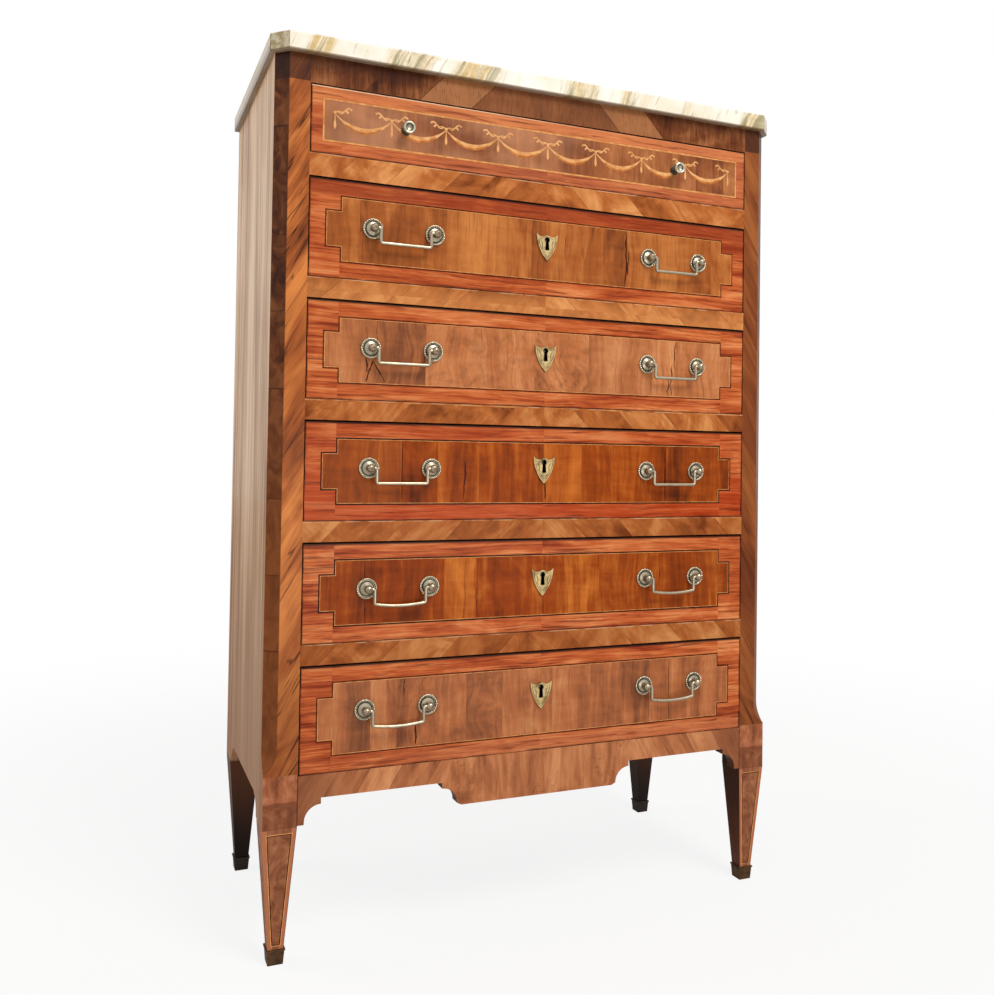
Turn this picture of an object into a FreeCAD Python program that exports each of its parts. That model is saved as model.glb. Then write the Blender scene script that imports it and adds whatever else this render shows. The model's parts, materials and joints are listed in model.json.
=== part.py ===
import FreeCAD, Part
import math
import os
import re
import Sketcher

# Six-drawer chest in the Louis XVI manner: marble slab on a case of four corner posts that run
# down into tapered legs, dovetailed drawers, bail handles, shield escutcheons and drawer locks.
# Millimetres. X is to the right seen from the front, Y to the back, Z up; the floor is Z = 0.
# The origin is the middle of the bottom of the box round the closed chest.

# Driving sizes
SIZES = {
    # case
    "case_width": "886",
    "case_depth": "410",
    "drawer_base": "277.5",
    "bottom_opening": "161.5",
    "deep_opening": "152",
    "frieze_opening": "104.5",
    "divider_height": "31",
    "frieze_divider_height": "34.5",
    "frieze_height": "42",
    # marble slab
    "marble_thickness": "28",
    "marble_side_overhang": "8",
    "marble_front_overhang": "10",
    "marble_back_overhang": "6",
    "marble_cant": "25",
    "marble_edge_round": "2.5",
    # posts and legs
    "post_width": "51",
    "post_cant": "20",
    "stop_lift": "3.5",
    "stop_rise": "37",
    "leg_height": "203",
    "toe_width": "20",
    # sabots
    "sabot_height": "23",
    "sabot_wall": "1.5",
    "sabot_sole": "2",
    "sabot_lip": "0.9",
    "sabot_lip_height": "2.5",
    # rails and apron
    "rail_reach": "9",
    "frieze_thickness": "22",
    "apron_thickness": "22",
    "apron_height": "72.5",
    "apron_rail_height": "35",
    "sill_height": "31",
    "tenon_length": "20",
    "tenon_inset": "6",
    "tenon_thickness": "11",
    "tenon_shoulder": "6",
    "bracket_toe": "10",
    "cove_radius": "25",
    "cove_heel": "3.5",
    "drop_half": "134",
    "drop_corner": "7.5",
    # side panels and back
    "panel_thickness": "18",
    "panel_setback": "0.5",
    "panel_edge": "236",
    "tongue_length": "8",
    "tongue_thickness": "8",
    "tongue_base": "250",
    "back_thickness": "12",
    "back_rabbet": "8",
    "back_bevel": "1.5",
    # runners
    "runner_height": "16",
    "runner_ledge": "16",
    "guide_rise": "30",
    "guide_gap": "0.3",
    # drawers
    "front_thickness": "20",
    "front_top_gap": "2.4",
    "front_base_gap": "0.8",
    "front_side_gap": "1.5",
    "front_lap": "6",
    "side_thickness": "12",
    "side_inset": "0.5",
    "side_drop": "12",
    "side_lift": "0.2",
    "box_back_thickness": "10",
    "box_back_drop": "6",
    "box_back_gap": "0.5",
    "bottom_thickness": "7",
    "bottom_rise": "7",
    "bottom_groove": "5",
    "joint_clearance": "0.1",
    # handles
    "handle_span": "100",
    "handle_drop": "69.2",
    "rosette_radius": "16.2",
    "rosette_plate": "1.2",
    "rosette_bead": "1.7",
    "rosette_groove": "1.4",
    "rosette_step": "0.8",
    "rosette_boss": "3.2",
    "collar_radius": "5",
    "neck_radius": "3.2",
    "ball_radius": "6.4",
    "finial_radius": "2.4",
    "finial_length": "2.6",
    "stud_radius": "2.5",
    "stud_clearance": "0.1",
    "nut_radius": "6",
    "nut_height": "3.5",
    "stud_tail": "1",
    "bail_standoff": "13",
    "bail_drop": "23",
    "bail_ball_gap": "0.4",
    "bail_wire": "2.7",
    "bail_bend": "3",
    "bail_sag": "3",
    "pintle_reach": "1.5",
    "pintle_clearance": "0.08",
    "pintle_end_gap": "0.6",
    # knobs
    "knob_radius": "10",
    "knob_reach": "19",
    "knob_head": "7",
    "knob_rim": "2.2",
    "knob_dish": "2",
    "knob_base_radius": "7.5",
    "knob_base_height": "2.5",
    "knob_stem": "4",
    # escutcheons and locks
    "shield_width": "38",
    "shield_height": "44.5",
    "shield_thickness": "3",
    "shield_belly": "4.5",
    "shield_scallop": "3",
    "shield_hump": "1.7",
    "keyhole_radius": "4.4",
    "keyhole_neck": "5.6",
    "keyhole_foot": "7.6",
    "keyhole_drop": "17",
    "keyhole_rise": "12",
    "lock_width": "58",
    "lock_height": "86",
    "lock_depth": "11",
    "lock_key_depth": "7",
    "lock_pin_radius": "1.3",
    "lock_pin_setback": "2",
    "selvedge_width": "76",
    "selvedge_thickness": "2.5",
    "bolt_width": "22",
    "bolt_thickness": "6",
    "bolt_length": "34",
    "bolt_setback": "2.2",
    "bolt_throw": "7",
    "bolt_clearance": "0.3",
    "mortise_clearance": "1",
    # how far a cut runs past the face it opens
    "overrun": "1",
    # shares: a handle's place along the front, the hump at the top of the shield, and a
    # dovetail's widths along its pitch
    "handle_place_share": "0.3115",
    "hump_width_share": "0.24",
    "hump_foot_share": "0.8",
    "tail_root_share": "0.56",
    "tail_tip_share": "0.74",
}

# Counts: drawers, those at the bottom whose bails are bowed, boards in the back, dovetails at a
# drawer's corner, flats round a nut
DRAWER_COUNT = 6
BOWED_BAIL_COUNT = 2
BACK_BOARD_COUNT = 6
FRIEZE_TAIL_COUNT = 2
DEEP_TAIL_COUNT = 3
NUT_FLAT_COUNT = 4
# Angles in degrees: the cant's plane about the post's upright edge, and a whole turn
CANT_ANGLE = 45
WHOLE_ANGLE = 360

# The drawers are numbered from the top down; all but the top one have locks and bails
DRAWERS = range(1, DRAWER_COUNT + 1)
LOCKED_DRAWERS = DRAWERS[1:]
BOWED_DRAWERS = DRAWERS[-BOWED_BAIL_COUNT:]


def opening(drawer):
    if drawer == DRAWERS[0]:
        return "frieze_opening"
    return "bottom_opening" if drawer == DRAWERS[-1] else "deep_opening"


# Places worked out from the driving sizes
PLACES = {
    "case_half": "case_width / 2",
    "opening_half": "case_half - post_width",
    "front_half": "opening_half - front_side_gap",
    "side_outer": "front_half - side_inset",
    "side_inner": "side_outer - side_thickness",
    "handle_offset": "handle_place_share * 2 * front_half",
    "handle_reach": "bail_standoff + ball_radius + finial_length",
    "bail_arm": "handle_span / 2 - ball_radius - bail_ball_gap - bail_bend",
    "pintle_end": "handle_span / 2 + pintle_reach",
    "front_plane": "(handle_reach - case_depth - marble_back_overhang) / 2",
    "apron_foot": "drawer_base - apron_height",
    "apron_edge": "drawer_base - apron_rail_height",
    "stop_base": "drawer_base + stop_lift",
    "base_6": "drawer_base",
    "base_5": "base_6 + bottom_opening + divider_height",
    "base_4": "base_5 + deep_opening + divider_height",
    "base_3": "base_4 + deep_opening + divider_height",
    "base_2": "base_3 + deep_opening + divider_height",
    "base_1": "base_2 + deep_opening + frieze_divider_height",
    "frieze_base": "base_1 + frieze_opening",
    "case_top": "frieze_base + frieze_height",
    "rail_depth": "post_width + rail_reach",
    "back_inside": "case_depth - back_thickness",
    "box_rear": "back_inside - box_back_gap",
    "panel_inside": "panel_setback + panel_thickness",
    "tongue_near": "panel_setback + (panel_thickness - tongue_thickness) / 2",
    "leg_middle": "post_width / 2",
    "leg_spread": "(post_width - toe_width) / 2 / (leg_height - sabot_sole)",
    "cove_top": "apron_foot + cove_heel + cove_radius",
    "bolt_near": "front_thickness - lock_depth + bolt_setback",
    "stud_hole": "stud_radius + stud_clearance",
    "stud_end": "front_thickness + nut_height + stud_tail",
    "seat_height": "rosette_plate + rosette_boss",
}
for drawer in DRAWERS:
    PLACES[f"front_top_{drawer}"] = f"base_{drawer} + {opening(drawer)} - front_top_gap"

doc = FreeCAD.newDocument("chest")
sub_parts = []


def cells(text, home=None):
    # writes each named size as a cell of the sheet that holds it
    def cell(match):
        word = match.group(0)
        for sheet, names in (("Sizes", SIZES), ("Places", PLACES)):
            if word in names:
                return word if sheet == home else f"{sheet}.{word}"
        return word
    return re.sub(r"[a-z][a-z_0-9]*", cell, text)


def fill(name, rows, prefix=""):
    sheet = doc.addObject("Spreadsheet::Sheet", name)
    for row, (alias, text) in enumerate(rows.items(), start=1):
        sheet.set(f"A{row}", alias)
        sheet.set(f"B{row}", prefix + (cells(text, name) if prefix else text))
        sheet.setAlias(f"B{row}", alias)
    doc.recompute()
    return sheet


fill("Sizes", SIZES)
places = fill("Places", PLACES, prefix="=")


def value(text):
    return float(places.evalExpression(cells(text)))


def bind(item, **expressions):
    for name, text in expressions.items():
        item.setExpression(name.replace("__", "."), cells(text))


def put(item, x="0", y="0", z="0"):
    bind(item, Placement__Base__x=x, Placement__Base__y=y, Placement__Base__z=z)
    return item


def keep(item, label):
    item.Label = label
    sub_parts.append(item)
    return item


# Sketches: a loop is ("circle", x, y, radius) or a list of corners (x, y), where a corner
# (x, y, radius, side) starts an arc that bows to its left (side 1) or to its right (side -1).
def bow_middle(start, end, radius, side):
    chord = end - start
    half = chord.Length / 2
    rise = radius - math.sqrt(max(radius * radius - half * half, 0))
    across = FreeCAD.Vector(-chord.y, chord.x, 0).normalize()
    return (start + end) * 0.5 + across * (rise * side)


def bow_radius(half, rise):
    # radius of an arc from half its chord and its rise
    return f"(({half}) ^ 2 + ({rise}) ^ 2) / (2 * ({rise}))"


def draw_circle(sketch, x, y, radius):
    middle = FreeCAD.Vector(value(x), value(y), 0)
    edge = sketch.addGeometry(Part.Circle(middle, FreeCAD.Vector(0, 0, 1), value(radius)))
    first = sketch.ConstraintCount
    sketch.addConstraint([
        Sketcher.Constraint("DistanceX", -1, 1, edge, 3, middle.x),
        Sketcher.Constraint("DistanceY", -1, 1, edge, 3, middle.y),
        Sketcher.Constraint("Radius", edge, value(radius)),
    ])
    for step, text in enumerate((x, y, radius)):
        sketch.setExpression(f"Constraints[{first + step}]", cells(text))


def draw_side(sketch, start, end, corner):
    # gives the edge and its two point numbers, in the order that the loop is walked
    if len(corner) == 2:
        edge = sketch.addGeometry(Part.LineSegment(start, end))
    else:
        middle = bow_middle(start, end, value(corner[2]), corner[3])
        edge = sketch.addGeometry(Part.Arc(start, middle, end))
    away = sketch.getPoint(edge, 1).distanceToPoint(start)
    forward = away < sketch.getPoint(edge, 2).distanceToPoint(start)
    return (edge, 1, 2) if forward else (edge, 2, 1)


def draw_sides(sketch, corners, closed=True):
    points = [FreeCAD.Vector(value(corner[0]), value(corner[1]), 0) for corner in corners]
    following = points[1:] + points[:1] if closed else points[1:]
    sides = [draw_side(sketch, start, end, corner)
             for start, end, corner in zip(points, following, corners)]
    held = [(edge, near) for edge, near, far in sides]
    if not closed:
        held.append((sides[-1][0], sides[-1][2]))
    after = sides[1:] + sides[:1] if closed else sides[1:]
    sketch.addConstraint([Sketcher.Constraint("Coincident", edge, far, next_edge, next_near)
                          for (edge, near, far), (next_edge, next_near, next_far) in zip(sides, after)])
    bound = []
    for (edge, point), place, corner in zip(held, points, corners):
        bound.append((Sketcher.Constraint("DistanceX", -1, 1, edge, point, place.x), corner[0]))
        bound.append((Sketcher.Constraint("DistanceY", -1, 1, edge, point, place.y), corner[1]))
        if len(corner) > 2:
            bound.append((Sketcher.Constraint("Radius", edge, value(corner[2])), corner[2]))
    first = sketch.ConstraintCount
    sketch.addConstraint([constraint for constraint, text in bound])
    for step, (constraint, text) in enumerate(bound):
        sketch.setExpression(f"Constraints[{first + step}]", cells(text))


def origin_plane(body, role):
    return next(item for item in body.Origin.OriginFeatures if item.Role == role)


def sketch_on(body, role, loops, offset="0", closed=True):
    sketch = body.newObject("Sketcher::SketchObject", f"{body.Name}_sketch")
    sketch.AttachmentSupport = [(origin_plane(body, role), "")]
    sketch.MapMode = "FlatFace"
    bind(sketch, AttachmentOffset__Base__z=offset)
    for loop in loops:
        if loop[0] == "circle":
            draw_circle(sketch, *loop[1:])
        else:
            draw_sides(sketch, loop, closed)
    return sketch


def rectangle(x_low, x_high, y_low, y_high):
    return [(x_low, y_low), (x_high, y_low), (x_high, y_high), (x_low, y_high)]


# Features of a body
def extrude(kind, body, sketch, length, reversed=False, symmetric=False):
    feature = body.newObject(f"PartDesign::{kind}", f"{body.Name}_{kind.lower()}")
    feature.Profile = sketch
    bind(feature, Length=length)
    feature.Reversed = reversed
    feature.SideType = "Symmetric" if symmetric else "One side"
    return feature


def pad(body, role, loops, length, offset="0", **how):
    return extrude("Pad", body, sketch_on(body, role, loops, offset), length, **how)


def pocket(body, role, loops, length, offset="0", **how):
    return extrude("Pocket", body, sketch_on(body, role, loops, offset), length, **how)


def turn(body, role, loop, axis, offset="0"):
    sketch = sketch_on(body, role, [loop], offset)
    feature = body.newObject("PartDesign::Revolution", f"{body.Name}_turned")
    feature.Profile = sketch
    feature.ReferenceAxis = (sketch, [axis])
    return feature


def loft(kind, body, low, low_height, high, high_height):
    feature = body.newObject(f"PartDesign::{kind}", f"{body.Name}_loft")
    feature.Profile = sketch_on(body, "XY_Plane", [low], low_height)
    feature.Sections = [sketch_on(body, "XY_Plane", [high], high_height)]
    feature.Ruled = True
    return feature


def mirror_feature(body, original):
    feature = body.newObject("PartDesign::Mirrored", f"{body.Name}_mirrored")
    feature.Originals = [original]
    feature.MirrorPlane = (origin_plane(body, "YZ_Plane"), [""])
    body.Tip = feature
    return feature


# Whole objects
def new_body(name, **place):
    return put(doc.addObject("PartDesign::Body", name), **place)


def box(name, x, y, z):
    # each of x, y and z is a pair: the low face and the high face
    item = doc.addObject("Part::Box", name)
    for low_high, side in zip((x, y, z), ("Length", "Width", "Height")):
        bind(item, **{side: f"({low_high[1]}) - ({low_high[0]})"})
    return put(item, x[0], y[0], z[0])


def mirrored(source, name):
    item = doc.addObject("Part::Mirroring", name)
    item.Source = source
    item.Normal = FreeCAD.Vector(1, 0, 0)
    return item


def copy_of(source, x="0", y="0", z="0", turned=False):
    item = doc.addObject("App::Link", f"{source.Name}_copy")
    item.LinkedObject = source
    if turned:
        half_turn = FreeCAD.Rotation(FreeCAD.Vector(0, 1, 0), WHOLE_ANGLE / 2)
        item.Placement = FreeCAD.Placement(FreeCAD.Vector(), half_turn)
    return put(item, x, y, z)


def group(name, items):
    item = doc.addObject("Part::Compound", name)
    item.Links = items
    return item


def joined(name, items):
    item = doc.addObject("Part::MultiFuse", name)
    item.Shapes = items
    return item


def cut(name, base, tool):
    item = doc.addObject("Part::Cut", name)
    item.Base = base
    item.Tool = tool
    return item


# Corner posts and legs
def centred_square(width):
    return rectangle(f"leg_middle - ({width}) / 2", f"leg_middle + ({width}) / 2",
                     f"leg_middle - ({width}) / 2", f"leg_middle + ({width}) / 2")


def post_stick(name, **place):
    post = new_body(name, **place)
    pad(post, "XY_Plane", [centred_square("post_width")], "case_top - leg_height", "leg_height")
    loft("AdditiveLoft", post, centred_square("toe_width"), "sabot_sole",
         centred_square("post_width"), "leg_height")
    return post


def rail_tenon_heights():
    # low and high edge of the tenon of every rail that enters the front posts
    spans = [("frieze_base", "case_top"), ("apron_edge", "drawer_base")]
    for lower, upper in zip(DRAWERS[1:], DRAWERS[:-1]):
        spans.append((f"base_{lower} + {opening(lower)}", f"base_{upper}"))
    return [(f"{low} + tenon_shoulder", f"{high} - tenon_shoulder") for low, high in spans]


def front_post():
    post = post_stick("front_left_post", x="-case_half", y="front_plane")
    # the cant, which runs out over the square block in a hollow stop
    cant_depth = "post_cant / sqrt(2)"
    stop_radius = bow_radius("stop_rise", cant_depth)
    cant = [
        ("-post_cant", "stop_base"),
        ("0", "stop_base", stop_radius, -1),
        (cant_depth, "stop_base + stop_rise"),
        (cant_depth, "case_top + overrun"),
        ("-post_cant", "case_top + overrun"),
    ]
    sketch = sketch_on(post, "XZ_Plane", [cant])
    sketch.AttachmentOffset = FreeCAD.Placement(
        FreeCAD.Vector(), FreeCAD.Rotation(FreeCAD.Vector(0, 1, 0), CANT_ANGLE))
    extrude("Pocket", post, sketch, "2 * (post_cant + overrun)", symmetric=True)
    # groove for the side panel's tongue, and mortises for the rails
    groove = rectangle("tongue_near", "tongue_near + tongue_thickness",
                       "post_width - tongue_length", "post_width + overrun")
    pocket(post, "XY_Plane", [groove], "case_top - tongue_base", "case_top")
    mortises = [rectangle("tenon_inset", "tenon_inset + tenon_thickness", low, high)
                for low, high in rail_tenon_heights()]
    pocket(post, "YZ_Plane", mortises, "tenon_length", "post_width")
    keep(post, "front_left_post")
    keep(mirrored(post, "front_right_post"), "front_right_post")


def rear_posts():
    post = post_stick("rear_left_post", x="-case_half", y="front_plane + case_depth - post_width")
    groove = rectangle("tongue_near", "tongue_near + tongue_thickness", "-overrun", "tongue_length")
    pocket(post, "XY_Plane", [groove], "case_top - tongue_base", "case_top")
    rabbet = rectangle("post_width - back_rabbet", "post_width + overrun",
                       "post_width - back_thickness", "post_width + overrun")
    pocket(post, "XY_Plane", [rabbet], "case_top - panel_edge", "case_top")
    keep(group("rear_posts", [post, mirrored(post, "rear_right_post")]), "rear_posts")


def sabots():
    def leg_width(height):
        return f"toe_width + 2 * leg_spread * ({height} - sabot_sole)"

    sabot = new_body("sabot")
    outer_low = f"{leg_width('0')} + 2 * sabot_wall"
    outer_high = f"{leg_width('sabot_height')} + 2 * sabot_wall"
    loft("AdditiveLoft", sabot, centred_square(outer_low), "0",
         centred_square(outer_high), "sabot_height")
    pad(sabot, "XY_Plane", [centred_square(f"{outer_high} + 2 * sabot_lip")],
        "sabot_lip_height", "sabot_height - sabot_lip_height")
    loft("SubtractiveLoft", sabot, centred_square("toe_width"), "sabot_sole",
         centred_square(leg_width("sabot_height + overrun")), "sabot_height + overrun")
    left = "-case_half"
    right = "case_half - post_width"
    front = "front_plane"
    rear = "front_plane + case_depth - post_width"
    feet = [copy_of(sabot, x, y) for x in (left, right) for y in (front, rear)]
    keep(group("sabots", feet), "sabots")


# Marble slab
def marble_top():
    slab = new_body("marble_top", y="front_plane", z="case_top")
    half = "(case_half + marble_side_overhang)"
    front = "-marble_front_overhang"
    rear = "case_depth + marble_back_overhang"
    outline = [
        (f"-{half} + marble_cant", front),
        (f"{half} - marble_cant", front),
        (half, f"{front} + marble_cant"),
        (half, rear),
        (f"-{half}", rear),
        (f"-{half}", f"{front} + marble_cant"),
    ]
    block = pad(slab, "XY_Plane", [outline], "marble_thickness")
    doc.recompute()
    flat = [index for index, face in enumerate(block.Shape.Faces, start=1)
            if abs(face.normalAt(0, 0).z) > abs(face.normalAt(0, 0).x) + abs(face.normalAt(0, 0).y)]
    edges = slab.newObject("PartDesign::Fillet", "marble_edges")
    edges.Base = (block, [f"Face{index}" for index in flat])
    bind(edges, Radius="marble_edge_round")
    keep(slab, "marble_top")


# Side panels and back
def side_panels():
    panel = new_body("left_side_panel", x="-case_half", y="front_plane")
    near = "post_width"
    far = "case_depth - post_width"
    arch = "bracket_toe + cove_radius"
    outline = [
        (near, "apron_foot"),
        (f"{near} + bracket_toe", "apron_foot"),
        (f"{near} + bracket_toe", "apron_foot + cove_heel", "cove_radius", 1),
        (f"{near} + {arch}", "cove_top"),
        (f"{near} + {arch}", "panel_edge"),
        (f"{far} - ({arch})", "panel_edge"),
        (f"{far} - ({arch})", "cove_top", "cove_radius", 1),
        (f"{far} - bracket_toe", "apron_foot + cove_heel"),
        (f"{far} - bracket_toe", "apron_foot"),
        (far, "apron_foot"),
        (far, "case_top"),
        (near, "case_top"),
    ]
    pad(panel, "YZ_Plane", [outline], "panel_thickness", "panel_setback")
    tongues = rectangle(f"{near} - tongue_length", f"{far} + tongue_length", "tongue_base", "case_top")
    pad(panel, "YZ_Plane", [tongues], "tongue_thickness", "tongue_near")
    keep(panel, "left_side_panel")
    keep(mirrored(panel, "right_side_panel"), "right_side_panel")


def back_boards():
    # level boards in the rear posts' rabbets, with a bevel along each outside edge
    board = new_body("back_board", y="front_plane")
    height = f"(case_top - panel_edge) / {BACK_BOARD_COUNT}"
    outline = [
        ("back_inside", "0"),
        ("case_depth - back_bevel", "0"),
        ("case_depth", "back_bevel"),
        ("case_depth", f"{height} - back_bevel"),
        ("case_depth - back_bevel", height),
        ("back_inside", height),
    ]
    pad(board, "YZ_Plane", [outline], "2 * (opening_half + back_rabbet)", symmetric=True)
    boards = [copy_of(board, y="front_plane", z=f"panel_edge + {height} * {index}")
              for index in range(BACK_BOARD_COUNT)]
    keep(group("back_boards", boards), "back_boards")


# Rails between the front posts, and the apron
def rail(name, low, high, near, far, tenoned=True):
    bar = box(name, ("-opening_half", "opening_half"),
              (f"front_plane + {near}", f"front_plane + {far}"), (low, high))
    if not tenoned:
        return bar
    tenons = box(f"{name}_tenons", ("-opening_half - tenon_length", "opening_half + tenon_length"),
                 ("front_plane + tenon_inset", "front_plane + tenon_inset + tenon_thickness"),
                 (f"{low} + tenon_shoulder", f"{high} - tenon_shoulder"))
    return joined(f"{name}_joined", [bar, tenons])


def front_rails():
    rails = [
        rail("frieze_rail", "frieze_base", "case_top", "0", "frieze_thickness"),
        rail("sill_rail", "drawer_base - sill_height", "drawer_base",
             "apron_thickness", "rail_depth", tenoned=False),
    ]
    for lower, upper in zip(DRAWERS[1:], DRAWERS[:-1]):
        low = f"base_{lower} + {opening(lower)}"
        divider = rail(f"divider_{upper}", low, f"base_{upper}", "0", "rail_depth")
        # the mortise that takes the bolt of the drawer below
        mortise = box(f"bolt_mortise_{upper}",
                      ("-bolt_width / 2 - mortise_clearance", "bolt_width / 2 + mortise_clearance"),
                      ("front_plane + bolt_near - mortise_clearance",
                       "front_plane + bolt_near + bolt_thickness + mortise_clearance"),
                      (f"{low} - overrun", f"{low} + bolt_throw + mortise_clearance"))
        rails.append(cut(f"divider_{upper}_cut", divider, mortise))
    keep(group("front_rails", rails), "front_rails")


def front_apron():
    apron = new_body("front_apron", y="front_plane")
    arch = "bracket_toe + cove_radius"
    drop = "drop_half + drop_corner"
    right = [
        ("drop_half", "apron_foot"),
        (drop, "apron_foot + cove_heel", "cove_radius", 1),
        (f"{drop} + cove_radius", "cove_top"),
        (f"{drop} + cove_radius", "apron_edge"),
        (f"opening_half - ({arch})", "apron_edge"),
        (f"opening_half - ({arch})", "cove_top", "cove_radius", 1),
        ("opening_half - bracket_toe", "apron_foot + cove_heel"),
        ("opening_half - bracket_toe", "apron_foot"),
        ("opening_half", "apron_foot"),
        ("opening_half", "drawer_base"),
    ]
    # the left half is the right half walked backwards, so each arc starts at its other end
    left = []
    for index, corner in enumerate(right):
        before = right[index - 1]
        left.insert(0, (f"-({corner[0]})", corner[1]) + (before[2:] if index else ()))
    pad(apron, "XZ_Plane", [right + left], "apron_thickness", reversed=True)
    low, high = rail_tenon_heights()[1]
    tenons = rectangle("-opening_half - tenon_length", "opening_half + tenon_length", low, high)
    pad(apron, "XZ_Plane", [tenons], "tenon_thickness", "-tenon_inset", reversed=True)
    keep(apron, "front_apron")


# Drawer runners: a ledge under the drawer's side, and a guide between the posts' inner faces
def drawer_runners():
    runner = new_body("left_runner", y="front_plane")
    outside = "-case_half + panel_inside"
    inside = "-opening_half + runner_ledge"
    guide = "-opening_half - guide_gap"
    section = [
        (outside, "-runner_height"),
        (inside, "-runner_height"),
        (inside, "0"),
        (guide, "0"),
        (guide, "guide_rise"),
        (outside, "guide_rise"),
    ]
    rear_post = "case_depth - post_width"
    pad(runner, "XZ_Plane", [section], f"{rear_post} - rail_depth", "-rail_depth", reversed=True)
    tail = rectangle("-opening_half", inside, "-runner_height", "0")
    pad(runner, "XZ_Plane", [tail], f"back_inside - ({rear_post})", f"-({rear_post})", reversed=True)
    right = mirrored(runner, "right_runner")
    pairs = []
    for drawer in DRAWERS:
        pairs.append(copy_of(runner, y="front_plane", z=f"base_{drawer}"))
        pairs.append(copy_of(right, z=f"base_{drawer}"))
    keep(group("drawer_runners", pairs), "drawer_runners")


# Drawers
def tails(low, high, root, tip, count, clearance="0"):
    # dovetails along a board's end, or their sockets: narrow at the root, wide at the tip
    pitch = f"(({high}) - ({low})) / {count}"
    loops = []
    for index in range(count):
        middle = f"{low} + {pitch} * ({index} + 1 / 2)"
        root_half = f"({pitch} * tail_root_share / 2 + {clearance})"
        tip_half = f"({pitch} * tail_tip_share / 2 + {clearance})"
        loops.append([
            (root, f"{middle} - {root_half}"),
            (tip, f"{middle} - {tip_half}"),
            (tip, f"{middle} + {tip_half}"),
            (root, f"{middle} + {root_half}"),
        ])
    return loops


def keyhole(middle):
    # round head over a slot that widens to its foot
    neck = "sqrt(keyhole_radius ^ 2 - (keyhole_neck / 2) ^ 2)"
    return [
        ("-keyhole_foot / 2", f"{middle} - keyhole_drop"),
        ("keyhole_foot / 2", f"{middle} - keyhole_drop"),
        ("keyhole_neck / 2", f"{middle} - {neck}"),
        ("keyhole_radius", middle, "keyhole_radius", -1),
        ("0", f"{middle} + keyhole_radius", "keyhole_radius", -1),
        ("-keyhole_radius", middle),
        ("-keyhole_neck / 2", f"{middle} - {neck}"),
    ]


def lock_outline(top, bottom, clearance="0"):
    # the lock's case under its wider selvedge
    case = "lock_width / 2"
    selvedge = "selvedge_width / 2"
    under = f"{top} - selvedge_thickness"
    return [
        (f"-{case}", bottom),
        (case, bottom),
        (case, under),
        (selvedge, under),
        (selvedge, f"{top} + {clearance}"),
        (f"-{selvedge}", f"{top} + {clearance}"),
        (f"-{selvedge}", under),
        (f"-{case}", under),
    ]


def handle_holes(drawer, front_top):
    if drawer in LOCKED_DRAWERS:
        places_along = [f"{side} * handle_offset + {post} * handle_span / 2"
                        for side in (-1, 1) for post in (-1, 1)]
        height = f"{front_top} - handle_drop"
    else:
        places_along = [f"{side} * handle_offset" for side in (-1, 1)]
        height = f"{opening(drawer)} / 2"
    return [("circle", along, height, "stud_hole") for along in places_along]


def drawer_front(drawer, side_low, side_high, count):
    name = f"drawer_{drawer}_front"
    front = new_body(name, y="front_plane", z=f"base_{drawer}")
    front_top = f"({opening(drawer)} - front_top_gap)"
    pad(front, "XZ_Plane", [rectangle("-front_half", "front_half", "front_base_gap", front_top)],
        "front_thickness", reversed=True)
    sockets = tails(side_low, side_high, "front_thickness", "front_lap - joint_clearance", count,
                    "joint_clearance")
    end = pocket(front, "YZ_Plane", sockets, "side_inset + side_thickness", "front_half")
    mirror_feature(front, end)
    groove_low = f"{side_low} + bottom_rise"
    groove = rectangle("front_thickness - bottom_groove", "front_thickness + overrun",
                       groove_low, f"{groove_low} + bottom_thickness")
    pocket(front, "YZ_Plane", [groove], "2 * side_inner", symmetric=True)
    pocket(front, "XZ_Plane", handle_holes(drawer, front_top), "front_thickness + overrun")
    if drawer in LOCKED_DRAWERS:
        recess = lock_outline(front_top, f"{front_top} - lock_height", "overrun")
        pocket(front, "XZ_Plane", [recess], "lock_depth", "-front_thickness", reversed=True)
        key = f"{front_top} - handle_drop + keyhole_rise"
        pocket(front, "XZ_Plane", [keyhole(key)], "front_thickness")
    keep(front, name)


def drawer_box(drawer, side_low, side_high, count):
    back_low = f"{side_low} + bottom_rise + bottom_thickness"
    back_high = f"{side_high} - box_back_drop"
    back_near = "box_rear - box_back_thickness"
    side = new_body(f"drawer_{drawer}_left_side", y="front_plane", z=f"base_{drawer}")
    outline = [
        ("front_thickness", side_low),
        ("box_rear", side_low),
        ("box_rear", back_low),
        (back_near, back_low),
        (back_near, side_high),
        ("front_thickness", side_high),
    ]
    pad(side, "YZ_Plane", [outline], "side_thickness", "-side_outer")
    rear_tails = tails(back_low, back_high, back_near, "box_rear", count)
    front_tails = tails(side_low, side_high, "front_thickness", "front_lap", count)
    pad(side, "YZ_Plane", front_tails + rear_tails, "side_thickness", "-side_outer")
    groove = rectangle("front_thickness", "box_rear + overrun", f"{side_low} + bottom_rise", back_low)
    pocket(side, "YZ_Plane", [groove], "bottom_groove", "-side_inner")
    back = new_body(f"drawer_{drawer}_back", y="front_plane", z=f"base_{drawer}")
    outline = rectangle(f"{back_near} + joint_clearance", "box_rear",
                        f"{back_low} + joint_clearance", back_high)
    pad(back, "YZ_Plane", [outline], "2 * side_outer", symmetric=True)
    sockets = tails(back_low, back_high, back_near, "box_rear", count, "joint_clearance")
    end = pocket(back, "YZ_Plane", sockets, "side_thickness + joint_clearance", "side_outer")
    mirror_feature(back, end)
    right = mirrored(side, f"drawer_{drawer}_right_side")
    name = f"drawer_{drawer}_box"
    keep(group(name, [side, right, back]), name)


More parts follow.
